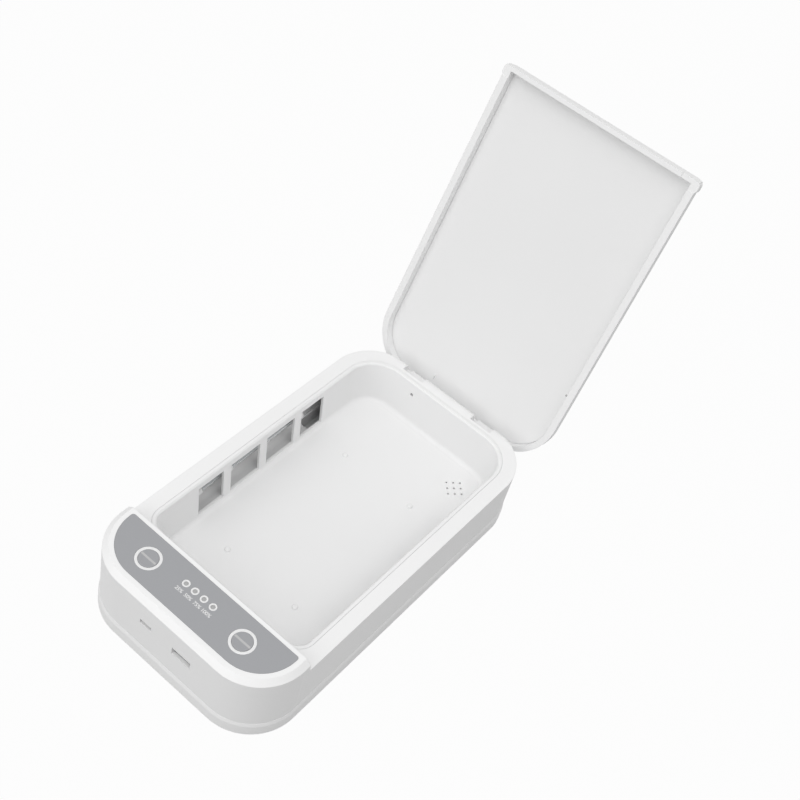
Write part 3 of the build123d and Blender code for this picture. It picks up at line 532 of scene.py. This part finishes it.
WARM_PLATE = BrightSheet("warming_plate", (0.7, 0.7, 0.71), 0.35, (1.0, 1.0, 1.0))
JACKET = WireJacket("lead_jacket")
SCREW = PlatedSteel("screw_zinc")
PIN = PlatedSteel("pin_ground", (0.56, 0.56, 0.57), 0.22)
FOOT = Rubber("foot_rubber", grey(196))


# ------------------------------------------------------------------ surfaces worked out with numpy
def rounded_path(
    corners: Sequence[tuple[float, float, float]], closed: bool, steps: int = 6
) -> np.ndarray:
    """Straight runs joined by arcs.

    At a corner with radius r and half turn h, the arc starts and ends r tan h from the corner, and its
    points are the corner's two tangent points blended through the arc's centre angle.

    Args:
        corners: Each corner as (first coordinate, second coordinate, radius).
        closed: Whether the last corner runs on to the first.
        steps: Points per arc, less one.

    Returns:
        The path's points, one row each.
    """
    points = np.array([c[:2] for c in corners], float)
    pieces = []
    for k, (x, y, radius) in enumerate(corners):
        corner = np.array((x, y))
        if radius <= 0 or (not closed and k in (0, len(corners) - 1)):
            pieces.append(corner[None])
            continue
        before = points[k - 1] - corner
        after = points[(k + 1) % len(points)] - corner
        before, after = before / np.linalg.norm(before), after / np.linalg.norm(after)
        half = math.acos(np.clip(before @ after, -1, 1)) / 2
        reach = radius / math.tan(half)
        middle = before + after
        centre = corner + middle / np.linalg.norm(middle) * radius / math.sin(half)
        start, end = corner + before * reach - centre, corner + after * reach - centre
        turn = math.pi - 2 * half
        share = np.linspace(0, 1, steps + 1)[:, None]
        arc = (np.sin((1 - share) * turn) * start + np.sin(share * turn) * end) / math.sin(turn)
        pieces.append(centre + arc)
    return np.concatenate(pieces)


def revolve(profile: np.ndarray, segments: int = 96) -> tuple[np.ndarray, list[list[int]]]:
    """Carry a profile of (radius, height) round the Z axis.

    A point at radius r, height h and angle a lies at (r cos a, r sin a, h). An end of the profile on
    the axis becomes a single pole. A profile that keeps off the axis closes on itself.

    Args:
        profile: Points that run up the outside, so that the faces point outwards.
        segments: Steps round the axis.

    Returns:
        Points and faces.
    """
    poles = profile[:, 0] < 1e-9
    body = profile[~poles]
    angle = np.linspace(0, 2 * math.pi, segments, endpoint=False)
    radius, height = body[:, :1], body[:, 1:]
    level = np.broadcast_to(height, (len(body), segments))
    points = np.stack([radius * np.cos(angle), radius * np.sin(angle), level], -1).reshape(-1, 3)
    faces = grid_faces(len(body), segments, not poles.any(), True).tolist()
    column = np.arange(segments)
    following = (column + 1) % segments
    if poles[0]:
        pole = np.full(segments, len(points))
        points = np.vstack([points, (0, 0, profile[0, 1])])
        faces += np.stack([following, column, pole], -1).tolist()
    if poles[-1]:
        pole = np.full(segments, len(points))
        points = np.vstack([points, (0, 0, profile[-1, 1])])
        last = (len(body) - 1) * segments
        faces += np.stack([last + column, last + following, pole], -1).tolist()
    return points, faces


def grid_faces(rows: int, columns: int, close_rows: bool, close_columns: bool) -> np.ndarray:
    """Four corner numbers for each cell of a grid of points.

    Args:
        rows: Points along the first parameter.
        columns: Points along the second.
        close_rows: Whether the last row joins the first.
        close_columns: Whether the last column joins the first.

    Returns:
        One row of four numbers per face.
    """
    row, column = np.meshgrid(
        np.arange(rows if close_rows else rows - 1),
        np.arange(columns if close_columns else columns - 1),
        indexing="ij",
    )
    row_on, column_on = (row + 1) % rows, (column + 1) % columns
    corners = [row * columns + column, row * columns + column_on, row_on * columns + column_on,
               row_on * columns + column]
    return np.stack(corners, -1).reshape(-1, 4)


def slab_grid(points: np.ndarray, thickness: float) -> tuple[np.ndarray, list[list[int]]]:
    """Close a grid of top points into a thin solid of even depth.

    The lower sheet is the upper one moved down by the thickness, and the four borders join them.

    Args:
        points: Top points, rows by columns by three.
        thickness: Depth in metres.

    Returns:
        Points and faces.
    """
    rows, columns = points.shape[:2]
    top = points.reshape(-1, 3)
    count = len(top)
    upper = grid_faces(rows, columns, False, False)
    index = np.arange(count).reshape(rows, columns)
    border = np.concatenate([index[0], index[1:, -1], index[-1, -2::-1], index[-2:0:-1, 0]])
    following = np.roll(border, -1)
    wall = np.stack([border, border + count, following + count, following], -1)
    faces = np.concatenate([upper, upper[:, ::-1] + count, wall])
    return np.vstack([top, top - (0, 0, thickness)]), faces.tolist()


def make_piece(
    name: str, points: np.ndarray, faces: list[list[int]], finish: Finish
) -> bpy.types.Object:
    """Put points and faces into a new object and dress it.

    Args:
        name: The piece's name.
        points: Its points, in metres, in the frame.
        faces: Its faces, turned outwards.
        finish: Its finish.

    Returns:
        The object.
    """
    mesh = bpy.data.meshes.new(name)
    mesh.from_pydata(points.tolist(), [], faces)
    mesh.polygons.foreach_set("use_smooth", np.ones(len(mesh.polygons), bool))
    mesh.set_sharp_from_angle(angle=math.radians(40))
    mesh.materials.append(finish.material())
    mesh.update()
    piece = bpy.data.objects.new(name, mesh)
    bpy.context.scene.collection.objects.link(piece)
    LOG.info("%s: %d faces", name, len(mesh.polygons))
    return piece


def dress(finish: Finish, *nodes: str) -> None:
    """Give frame nodes a finish; their meshes stay as they are.

    Args:
        finish: The finish.
        *nodes: The nodes' names.
    """
    for name in nodes:
        node = frame["nodes"][name]
        node.data.materials.clear()
        node.data.materials.append(finish.material())
        LOG.info("%s: frame node in %s", name, finish.name)


def centre_of(node: str) -> Vector:
    """Middle of a frame node's box."""
    low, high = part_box(node)
    return (low + high) / 2


# ------------------------------------------------------------------ the sub-assemblies
@dataclass
class Casing:
    """Bottom shell, housing, chamber tray, feet and screws."""

    foot_groove_radius: float = 3.6 * MM
    foot_groove_width: float = 0.8 * MM
    foot_groove_depth: float = 0.4 * MM
    foot_groove_round: float = 0.15 * MM
    foot_edge: float = 0.4 * MM
    foot_top_edge: float = 0.05 * MM

    def build(self) -> None:
        """Dress the shells and build the feet."""
        dress(CASING, "bottom_shell", "main_housing")
        dress(LINER, "chamber_tray")
        dress(SCREW, "case_screws", "board_screws")
        for end in ("front", "rear"):
            for side in Side:
                self.foot(f"{end}_{side.word}")

    def foot(self, place: str) -> None:
        """Rubber pad with a ring groove in its underside.

        The profile runs from the underside's middle over the groove and the rounded edge up the side
        to the middle of the top.

        Args:
            place: The foot's place, as its node spells it.
        """
        node = f"foot_{place}"
        low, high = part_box(node)
        middle = centre_of(node)
        radius = (high.x - low.x) / 2
        inner = self.foot_groove_radius - self.foot_groove_width / 2
        outer = self.foot_groove_radius + self.foot_groove_width / 2
        groove = low.z + self.foot_groove_depth
        round_off = self.foot_groove_round
        profile = rounded_path(
            [
                (0.0, low.z, 0.0),
                (inner, low.z, round_off),
                (inner, groove, round_off),
                (outer, groove, round_off),
                (outer, low.z, round_off),
                (radius, low.z, self.foot_edge),
                (radius, high.z, self.foot_top_edge),
                (0.0, high.z, 0.0),
            ],
            closed=False,
        )
        points, faces = revolve(profile, 64)
        placed = points + (middle.x, middle.y, 0)
        piece = make_piece(f"rubber_foot_{place}", placed, faces, FOOT)
        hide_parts(node)
        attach(piece, "box")


@dataclass
class Console:
    """Grey panel with its two ringed buttons, four charge lights and printing."""

    ring_outer: float = 7.1 * MM
    ring_inner: float = 5.5 * MM
    ring_crown: float = 0.12 * MM
    cap_radius: float = 5.35 * MM
    cap_dish: float = 0.08 * MM
    cap_edge: float = 0.15 * MM
    cap_stem: float = 2.2 * MM
    cap_stem_height: float = 3.0 * MM
    cap_flange: float = 6.25 * MM
    cap_flange_height: float = 1.0 * MM
    cap_flange_edge: float = 0.2 * MM
    bar_length: float = 10.2 * MM
    bar_width: float = 1.2 * MM
    bar_end: float = 0.985
    light_outer: float = 2.2 * MM
    light_inner: float = 1.25 * MM
    light_stem: float = 1.3 * MM
    light_collar_share: float = 0.35
    lens_gap: float = 0.05 * MM
    lens_dome: float = 0.15 * MM
    label_height: float = 2.05 * MM
    label_boldness: float = 0.05 * MM
    label_offset: float = 5.0 * MM
    ink: float = 0.02 * MM
    labels: tuple[str, ...] = ("25%", "50%", "75%", "100%")
    names: tuple[str, ...] = ("uv", "aroma")

    def build(self) -> None:
        """Dress the panel and build what stands in it."""
        dress(PANEL, "control_panel")
        dress(INSULATOR, *(f"{name}_switch{part}" for name in self.names for part in ("", "_plunger")))
        for name in self.names:
            self.ring(f"{name}_light_ring", self.ring_outer, self.ring_inner)
            self.cap(name)
            self.bar(name)
        for number, words in enumerate(self.labels, start=1):
            self.charge_light(number)
            self.label(number, words)

    def ring(self, node: str, outer: float, inner: float) -> None:
        """Pale ring, crowned on top.

        Its profile is a rectangle between the two radii with rounded upper edges and a crown that
        rises as a parabola between them.

        Args:
            node: The frame node that it stands for.
            outer: Outer radius.
            inner: Inner radius.
        """
        low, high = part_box(node)
        middle = centre_of(node)
        radius = np.linspace(outer, inner, 17)
        share = (radius - inner) / (outer - inner)
        crown = high.z - self.ring_crown + self.ring_crown * 4 * share * (1 - share)
        top = np.stack([radius, crown], -1)
        profile = np.vstack([[(inner, low.z), (outer, low.z)], top])
        points, faces = revolve(profile)
        placed = points + (middle.x, middle.y, 0)
        piece = make_piece(f"{node}_lit", placed, faces, DIFFUSER)
        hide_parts(node)
        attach(piece, "box")

    def cap_height(self, radius: np.ndarray, top: float) -> np.ndarray:
        """Height of a cap's dished top: it falls from the rim to the middle as a raised cosine.

        Args:
            radius: Distance from the cap's axis.
            top: Height of the rim.

        Returns:
            The height at each radius.
        """
        share = np.clip(radius / (self.cap_radius - self.cap_edge), 0, 1)
        return top - self.cap_dish * (1 + np.cos(math.pi * share)) / 2

    def cap(self, name: str) -> None:
        """Push button: dished top, rounded rim, skirt and keeper flange.

        Args:
            name: The button's name.
        """
        node = f"{name}_button"
        low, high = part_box(node)
        middle = centre_of(node)
        flange_high = low.z + self.cap_stem_height
        flange_low = flange_high - self.cap_flange_height
        side = rounded_path(
            [
                (self.cap_stem, low.z, 0.0),
                (self.cap_stem, flange_low, self.cap_flange_edge),
                (self.cap_flange, flange_low, self.cap_flange_edge),
                (self.cap_flange, flange_high, self.cap_flange_edge),
                (self.cap_radius, flange_high, self.cap_flange_edge / 2),
                (self.cap_radius, high.z, self.cap_edge),
                (self.cap_radius - 2 * self.cap_edge, high.z, 0.0),
            ],
            closed=False,
        )
        radius = np.linspace(self.cap_radius - 2 * self.cap_edge, 0, 24)[1:]
        dish = np.stack([radius, self.cap_height(radius, high.z)], -1)
        profile = np.vstack([[(0.0, low.z)], side, dish])
        points, faces = revolve(profile)
        placed = points + (middle.x, middle.y, 0)
        piece = make_piece(f"{name}_push_cap", placed, faces, CAP)
        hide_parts(node)
        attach(piece, f"{name}_key")

    def bar(self, name: str) -> None:
        """Plain printed bar across a cap.

        An angle that runs from one end of the bar to the other gives its place along the bar and, as
        the root of its cosine, the half width there. The bar follows the cap's dish.

        Args:
            name: The button's name.
        """
        node = f"{name}_button"
        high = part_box(node)[1]
        middle = centre_of(node)
        half_length, half_width = self.bar_length / 2, self.bar_width / 2
        angle = np.linspace(-math.pi / 2, math.pi / 2, 33) * self.bar_end
        x = (half_length - half_width) * np.clip(angle * 3, -1, 1) + half_width * np.sin(angle)
        width = half_width * np.cos(angle) ** 0.5
        across = np.linspace(-1, 1, 7)
        grid_x = np.broadcast_to(x[:, None], (len(x), len(across)))
        grid_y = width[:, None] * across
        height = self.cap_height(np.hypot(grid_x, grid_y), high.z) + self.ink
        grid = np.stack([grid_x, grid_y, height], -1)
        points, faces = slab_grid(grid, self.ink)
        placed = points + (middle.x, middle.y, 0)
        piece = make_piece(f"{name}_bar", placed, faces, FAINT_PRINT)
        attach(piece, f"{name}_key")

    def charge_light(self, number: int) -> None:
        """Charge light: a domed grey lens in a pale ring, over its pipe.

        Args:
            number: Which light, from the left.
        """
        node = f"charge_light_{number}"
        low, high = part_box(node)
        middle = centre_of(node)
        collar = low.z + self.light_collar_share * (high.z - low.z)
        lens_radius = self.light_inner - self.lens_gap
        pipe = rounded_path(
            [
                (0.0, low.z, 0.0),
                (self.light_stem, low.z, 0.2 * MM),
                (self.light_stem, collar, 0.1 * MM),
                (lens_radius, collar, 0.0),
                (lens_radius, high.z - self.lens_dome, 0.0),
            ],
            closed=False,
        )
        radius = np.linspace(lens_radius, 0, 14)[1:]
        sag = self.lens_dome * (radius / self.light_inner) ** 2
        dome = np.stack([radius, high.z - sag - self.lens_gap], -1)
        points, faces = revolve(np.vstack([pipe, dome]), 48)
        placed = points + (middle.x, middle.y, 0)
        lens = make_piece(f"charge_lens_{number}", placed, faces, LENS)
        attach(lens, "box")
        ring_profile = rounded_path(
            [
                (self.light_inner, collar, 0.0),
                (self.light_outer, collar, 0.0),
                (self.light_outer, high.z, 0.1 * MM),
                (self.light_inner, high.z, 0.15 * MM),
            ],
            closed=True,
        )
        points, faces = revolve(ring_profile, 64)
        placed = points + (middle.x, middle.y, 0)
        ring = make_piece(f"charge_ring_{number}", placed, faces, DIFFUSER)
        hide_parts(node)
        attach(ring, "box")

    def label(self, number: int, words: str) -> None:
        """Printed number in front of a charge light.

        Args:
            number: Which light, from the left.
            words: What it says.
        """
        curve = bpy.data.curves.new(f"label_{number}", "FONT")
        curve.body = words
        curve.size = self.label_height / 0.7
        curve.align_x = "CENTER"
        curve.align_y = "CENTER"
        curve.space_character = 0.95
        curve.offset = self.label_boldness
        letters = bpy.data.objects.new(f"label_{number}", curve)
        bpy.context.scene.collection.objects.link(letters)
        bpy.context.view_layer.update()
        mesh = bpy.data.meshes.new_from_object(letters)
        bpy.data.objects.remove(letters)
        middle = centre_of(f"charge_light_{number}")
        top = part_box("control_panel")[1].z
        mesh.transform(Matrix.Translation((middle.x, middle.y - self.label_offset, top + self.ink)))
        mesh.materials.clear()
        mesh.materials.append(PRINT.material())
        piece = bpy.data.objects.new(f"charge_label_{number}", mesh)
        bpy.context.scene.collection.objects.link(piece)
        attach(piece, "box")
        LOG.info("charge_label_%d: %s", number, words)


@dataclass
class Ports:
    """The two ports, their contacts and the boards behind them."""

    contact_count: int = 4
    contact_pitch: float = 2.3 * MM
    contact_width: float = 1.1 * MM
    contact_length: float = 7.5 * MM
    contact_rise: float = 0.12 * MM
    contact_inset: float = 0.8 * MM
    tongue_top: float = 2.95 * MM

    def build(self) -> None:
        """Dress the ports and boards and build the wide port's contacts."""
        dress(PORT_SHEET, "usb_a_port", "micro_usb_port")
        dress(INSULATOR, "usb_a_tongue", "micro_usb_tongue")
        dress(BOARD, "main_board", "lamp_driver_board", "button_board")
        dress(FERRITE_AND_PAINTED_SHADE, "lamp_transformer")
        dress(CHIP_RESIN, "status_leds")
        self.contacts()

    def contacts(self) -> None:
        """Spring contacts on the wide port's tongue.

        Each is a strip whose height over the tongue rises from nothing to its crown as half a sine
        along its length.
        """
        low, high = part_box("usb_a_tongue")
        middle = centre_of("usb_a_tongue")
        along = np.linspace(0, 1, 25)
        across = np.linspace(-0.5, 0.5, 5)
        shape = (len(along), len(across))
        depth = low.y + self.contact_inset + along * self.contact_length
        height = low.z + self.tongue_top + self.contact_rise * np.sin(math.pi * along)
        grid_x = np.broadcast_to(across * self.contact_width, shape)
        grid_y = np.broadcast_to(depth[:, None], shape)
        grid_z = np.broadcast_to(height[:, None], shape)
        strip, faces = slab_grid(np.stack([grid_x, grid_y, grid_z], -1)[:, ::-1], self.contact_rise / 2)
        steps = np.arange(self.contact_count) - (self.contact_count - 1) / 2
        places = middle.x + self.contact_pitch * steps
        points = (strip[None] + np.stack([places, 0 * places, 0 * places], -1)[:, None]).reshape(-1, 3)
        shifts = np.arange(self.contact_count)[:, None, None] * len(strip)
        all_faces = (np.array(faces)[None] + shifts).reshape(-1, 4).tolist()
        piece = make_piece("usb_a_contacts", points, all_faces, CONTACT)
        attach(piece, "box")


@dataclass
class LampUnit:
    """Reflector, lamp, caps, clip and lead on one long side."""

    side: Side
    glass_wall: float = 0.4 * MM
    electrode_wall: float = 0.15 * MM
    electrode_floor: float = 0.3 * MM
    electrode_radius: float = 0.9 * MM
    electrode_length: float = 7.0 * MM
    electrode_inset: float = 3.0 * MM

    def build(self) -> None:
        """Dress the carriers and build the lamp."""
        word = self.side.word
        dress(REFLECTOR, f"reflector_{word}")
        dress(SILICONE, f"lamp_front_cap_{word}", f"lamp_rear_cap_{word}")
        dress(CLIP, f"lamp_clip_{word}")
        dress(JACKET, f"lamp_lead_{word}")
        self.tube()
        self.electrodes()

    def tube(self) -> None:
        """Hollow glass tube along Y with domed ends.

        The outer profile is a straight wall between two quarter circles, and the bore is the same
        profile, smaller by the glass and turned inside out.
        """
        node = f"uv_lamp_{self.side.word}"
        low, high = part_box(node)
        middle = centre_of(node)
        radius = (high.x - low.x) / 2
        half = (high.y - low.y) / 2
        outer, outer_faces = self.capsule(radius, half)
        bore, bore_faces = self.capsule(radius - self.glass_wall, half - self.glass_wall)
        flipped = [[corner + len(outer) for corner in face[::-1]] for face in bore_faces]
        points = self.laid(np.vstack([outer, bore])) + np.array(middle)
        faces = outer_faces + flipped
        piece = make_piece(f"lamp_tube_{self.side.word}", points, faces, GLASS)
        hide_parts(node)
        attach(piece, "box")

    @staticmethod
    def capsule(radius: float, half: float) -> tuple[np.ndarray, list[list[int]]]:
        """Closed tube about Z with rounded ends."""
        edge = 0.6 * radius
        corners = [(0.0, -half, 0.0), (radius, -half, edge), (radius, half, edge), (0.0, half, 0.0)]
        return revolve(rounded_path(corners, closed=False), 48)

    @staticmethod
    def laid(points: np.ndarray) -> np.ndarray:
        """Turn points about Z into points about Y, keeping their handedness."""
        return points[:, [1, 2, 0]]

    def electrodes(self) -> None:
        """Metal cup inside each end of the tube, open towards the middle."""
        low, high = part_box(f"uv_lamp_{self.side.word}")
        middle = centre_of(f"uv_lamp_{self.side.word}")
        cup = rounded_path(
            [
                (0.0, 0.0, 0.0),
                (self.electrode_radius, 0.0, 0.25 * MM),
                (self.electrode_radius, self.electrode_length, 0.05 * MM),
                (self.electrode_radius - self.electrode_wall, self.electrode_length, 0.05 * MM),
                (self.electrode_radius - self.electrode_wall, self.electrode_floor, 0.1 * MM),
                (0.0, self.electrode_floor, 0.0),
            ],
            closed=False,
        )
        points, faces = revolve(cup, 32)
        for end, start, way in (("front", low.y, 1), ("rear", high.y, -1)):
            placed = self.laid(points) * (1, way, 1)
            turned = faces if way == 1 else [face[::-1] for face in faces]
            placed = placed + (middle.x, start + way * self.electrode_inset, middle.z)
            name = f"electrode_{end}_{self.side.word}"
            piece = make_piece(name, placed, turned, ELECTRODE)
            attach(piece, "box")


@dataclass
class InnerWorks:
    """Aroma cell, lid sensor, hinge pins and the leads along the floor."""

    def build(self) -> None:
        """Dress each piece."""
        dress(FELT, "aroma_pad")
        dress(WARM_PLATE, "aroma_heater")
        dress(SENSOR_RESIN, "lid_sensor")
        dress(JACKET, "aroma_lead", "sensor_lead", "button_ribbon")
        dress(PIN, *(f"hinge_pin_{side.word}" for side in Side))


@dataclass
class Lid:
    """Lid shell and inner sheet, with the marks of their moulding.

    Marks are placed as on the closed lid and turned open about the hinge.
    """

    sheet_height: float = 47.2 * MM
    gate_place: tuple[float, float] = (58.0 * MM, 65.5 * MM)
    gate_radius: float = 0.55 * MM
    gate_depth: float = 0.3 * MM
    rib_place: tuple[float, float] = (-19.0 * MM, 107.25 * MM)
    rib_size: tuple[float, float, float] = (0.8 * MM, 3.4 * MM, 0.8 * MM)
    rib_root: float = 0.2 * MM
    rib_powers: tuple[float, float] = (0.3, 0.4)
    rib_flank: float = 0.98

    def build(self) -> None:
        """Dress the lid and add its marks."""
        dress(CASING, "lid_shell")
        dress(LID_SHEET, "lid_liner")
        self.gate_mark()
        self.locating_rib()

    @staticmethod
    def opened(points: np.ndarray) -> np.ndarray:
        """Turn points of the closed lid to where the open lid has them.

        Args:
            points: Points of the closed lid.

        Returns:
            The same points, turned about the hinge by its full range.
        """
        hinge = next(joint for joint in frame["joints"] if joint["name"] == "lid_hinge")
        pivot = np.array(hinge["pos_m"])
        turn = Matrix.Rotation(-math.radians(hinge["range_deg"][1]), 3, Vector(hinge["axis"]))
        return (points - pivot) @ np.array(turn).T + pivot

    def gate_mark(self) -> None:
        """Small crater where the plastic was let into the mould, coloured dark grey as painted shade of
        the pit.

        The profile runs out over the crater's floor, up its wall and down a low outer ring.
        """
        depth, radius = self.gate_depth, self.gate_radius
        profile = rounded_path(
            [
                (0.0, depth * 0.6, 0.0),
                (radius * 0.55, depth * 0.6, 0.05 * MM),
                (radius * 0.6, -depth * 0.3, 0.05 * MM),
                (radius, -depth * 0.2, 0.05 * MM),
                (radius * 1.1, depth, 0.0),
                (0.0, depth, 0.0),
            ],
            closed=False,
        )
        points, faces = revolve(profile, 32)
        placed = points + (*self.gate_place, self.sheet_height)
        # The dark grey finish is painted shade: it makes the pit read darker than the white sheet around
        # it.
        piece = make_piece("lid_gate_mark_painted_shade", self.opened(placed), faces, FERRITE_AND_PAINTED_SHADE)
        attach(piece, "lid")

    def locating_rib(self) -> None:
        """Short rib near the rear wall, whose height falls off as a power of a cosine to its edges."""
        width, length, rise = self.rib_size
        along = np.linspace(-0.5, 0.5, 21)
        across = np.linspace(-0.5, 0.5, 9)
        shape = (len(along), len(across))
        grid_x = np.broadcast_to(across * width, shape)
        grid_y = np.broadcast_to((along * length)[:, None], shape)
        end_power, side_power = self.rib_powers
        lengthwise = np.cos(math.pi * along)[:, None] ** end_power
        crosswise = np.cos(math.pi * across * self.rib_flank) ** side_power
        grid_z = -rise * lengthwise * crosswise
        points, faces = slab_grid(np.stack([grid_x, grid_y, grid_z], -1), -self.rib_root)
        placed = points + (*self.rib_place, self.sheet_height)
        piece = make_piece("lid_locating_rib", self.opened(placed), faces, LID_SHEET)
        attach(piece, "lid")


@dataclass
class Studio:
    """Camera, lights, floor and white surroundings."""

    azimuth: float = math.radians(27.95)
    elevation: float = math.radians(45.04)
    roll: float = math.radians(15.93)
    distance: float = 560.37 * MM
    target: tuple[float, float, float] = (35.67 * MM, -23.92 * MM, 205.79 * MM)
    focal_pixels: float = 1299.72
    centre_pixel: tuple[float, float] = (404.55, 352.38)
    frame_pixels: float = 800.0
    sensor: float = 36.0
    floor_half: float = 6.0
    floor_level: float = 150.0
    floor_white: float = 0.97
    sky_strength: float = 0.65

    def build(self) -> None:
        """Set up everything that isn't the object."""
        self.camera()
        self.floor()
        self.world()
        self.lamps()
        bpy.context.scene.view_settings.view_transform = "Standard"

    def camera(self) -> None:
        """Camera at the photograph's place, turn and focal length.

        It looks from the azimuth and elevation at the target and is rolled about its own line of
        sight. The optical centre lies off the frame's middle by the shift.
        """
        back = Vector(
            (
                math.sin(self.azimuth) * math.cos(self.elevation),
                -math.cos(self.azimuth) * math.cos(self.elevation),
                math.sin(self.elevation),
            )
        )
        level_right = (-back).cross(Vector((0, 0, 1))).normalized()
        level_up = level_right.cross(-back)
        right = level_right * math.cos(self.roll) + level_up * math.sin(self.roll)
        up = -level_right * math.sin(self.roll) + level_up * math.cos(self.roll)
        turn = Matrix((right, up, back)).transposed().to_4x4()
        data = bpy.data.cameras.new("camera")
        data.sensor_width = self.sensor
        data.lens = self.focal_pixels / self.frame_pixels * self.sensor
        middle = self.frame_pixels / 2
        data.shift_x = (middle - self.centre_pixel[0]) / self.frame_pixels
        data.shift_y = (self.centre_pixel[1] - middle) / self.frame_pixels
        data.clip_start = 0.01
        camera = bpy.data.objects.new("camera", data)
        camera.matrix_world = Matrix.Translation(Vector(self.target) + back * self.distance) @ turn
        bpy.context.scene.collection.objects.link(camera)
        bpy.context.scene.camera = camera

    def floor(self) -> None:
        """Wide grey floor that shows white to the camera and keeps a faint shadow."""
        points = np.array([(-1, -1, 0), (1, -1, 0), (1, 1, 0), (-1, 1, 0)]) * self.floor_half
        mesh = bpy.data.meshes.new("floor")
        mesh.from_pydata(points.tolist(), [], [[0, 1, 2, 3]])
        graph = Graph("floor_white")
        rays = self.seen_rays(graph)
        paint = graph.surface(Base_Color=grey(self.floor_level), Roughness=0.9)
        white = graph.node("ShaderNodeEmission", inputs={"Color": (1, 1, 1, 1), "Strength": 1.0})
        inputs = {0: rays * self.floor_white, 1: paint, 2: white}
        mesh.materials.append(graph.finish(graph.node("ShaderNodeMixShader", inputs=inputs)))
        floor = bpy.data.objects.new("floor", mesh)
        bpy.context.scene.collection.objects.link(floor)

    @staticmethod
    def seen_rays(graph: Graph) -> Value:
        """1 for rays from the camera, a gloss or a glass, else 0."""
        seen = [
            graph.node("ShaderNodeLightPath", output=name)
            for name in ("Is Camera Ray", "Is Glossy Ray", "Is Transmission Ray")
        ]
        return (seen[0] + seen[1] + seen[2]) > 0.5

    def world(self) -> None:
        """White surroundings for what is seen, a softer level for what lights the object."""
        world = bpy.data.worlds.new("studio")
        bpy.context.scene.world = world
        world.use_nodes = True
        tree = world.node_tree
        tree.nodes.clear()
        path = tree.nodes.new("ShaderNodeLightPath")
        strength = tree.nodes.new("ShaderNodeMix")
        strength.inputs[2].default_value = self.sky_strength
        strength.inputs[3].default_value = 1.0
        tree.links.new(path.outputs["Is Camera Ray"], strength.inputs[0])
        background = tree.nodes.new("ShaderNodeBackground")
        background.inputs["Color"].default_value = (1, 1, 1, 1)
        tree.links.new(strength.outputs[0], background.inputs["Strength"])
        output = tree.nodes.new("ShaderNodeOutputWorld")
        tree.links.new(background.outputs[0], output.inputs["Surface"])

    def lamps(self) -> None:
        """Large soft lamps: a key overhead and a fill from the front."""
        self.lamp("key", (0.3, -0.35, 1.55), 1.6, 10.0)
        self.lamp("front_fill", (-0.45, -1.45, 0.75), 1.2, 6.4)

    @staticmethod
    def lamp(name: str, place: tuple[float, float, float], size: float, power: float) -> None:
        """Square area lamp aimed at the box.

        Args:
            name: Its name.
            place: Where it hangs.
            size: Its side.
            power: Its power in watts.
        """
        data = bpy.data.lights.new(name, "AREA")
        data.size = size
        data.energy = power
        light = bpy.data.objects.new(name, data)
        light.location = place
        light.rotation_euler = (Vector((0, 0, 0.05)) - Vector(place)).to_track_quat("-Z", "Y").to_euler()
        bpy.context.scene.collection.objects.link(light)


def main() -> None:
    """Build every sub-assembly, then the studio round it."""
    logging.basicConfig(level=logging.INFO, format="%(name)s: %(message)s")
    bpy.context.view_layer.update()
    Casing().build()
    Console().build()
    Ports().build()
    for side in Side:
        LampUnit(side).build()
    InnerWorks().build()
    Lid().build()
    Studio().build()


if __name__ == "__main__":
    main()
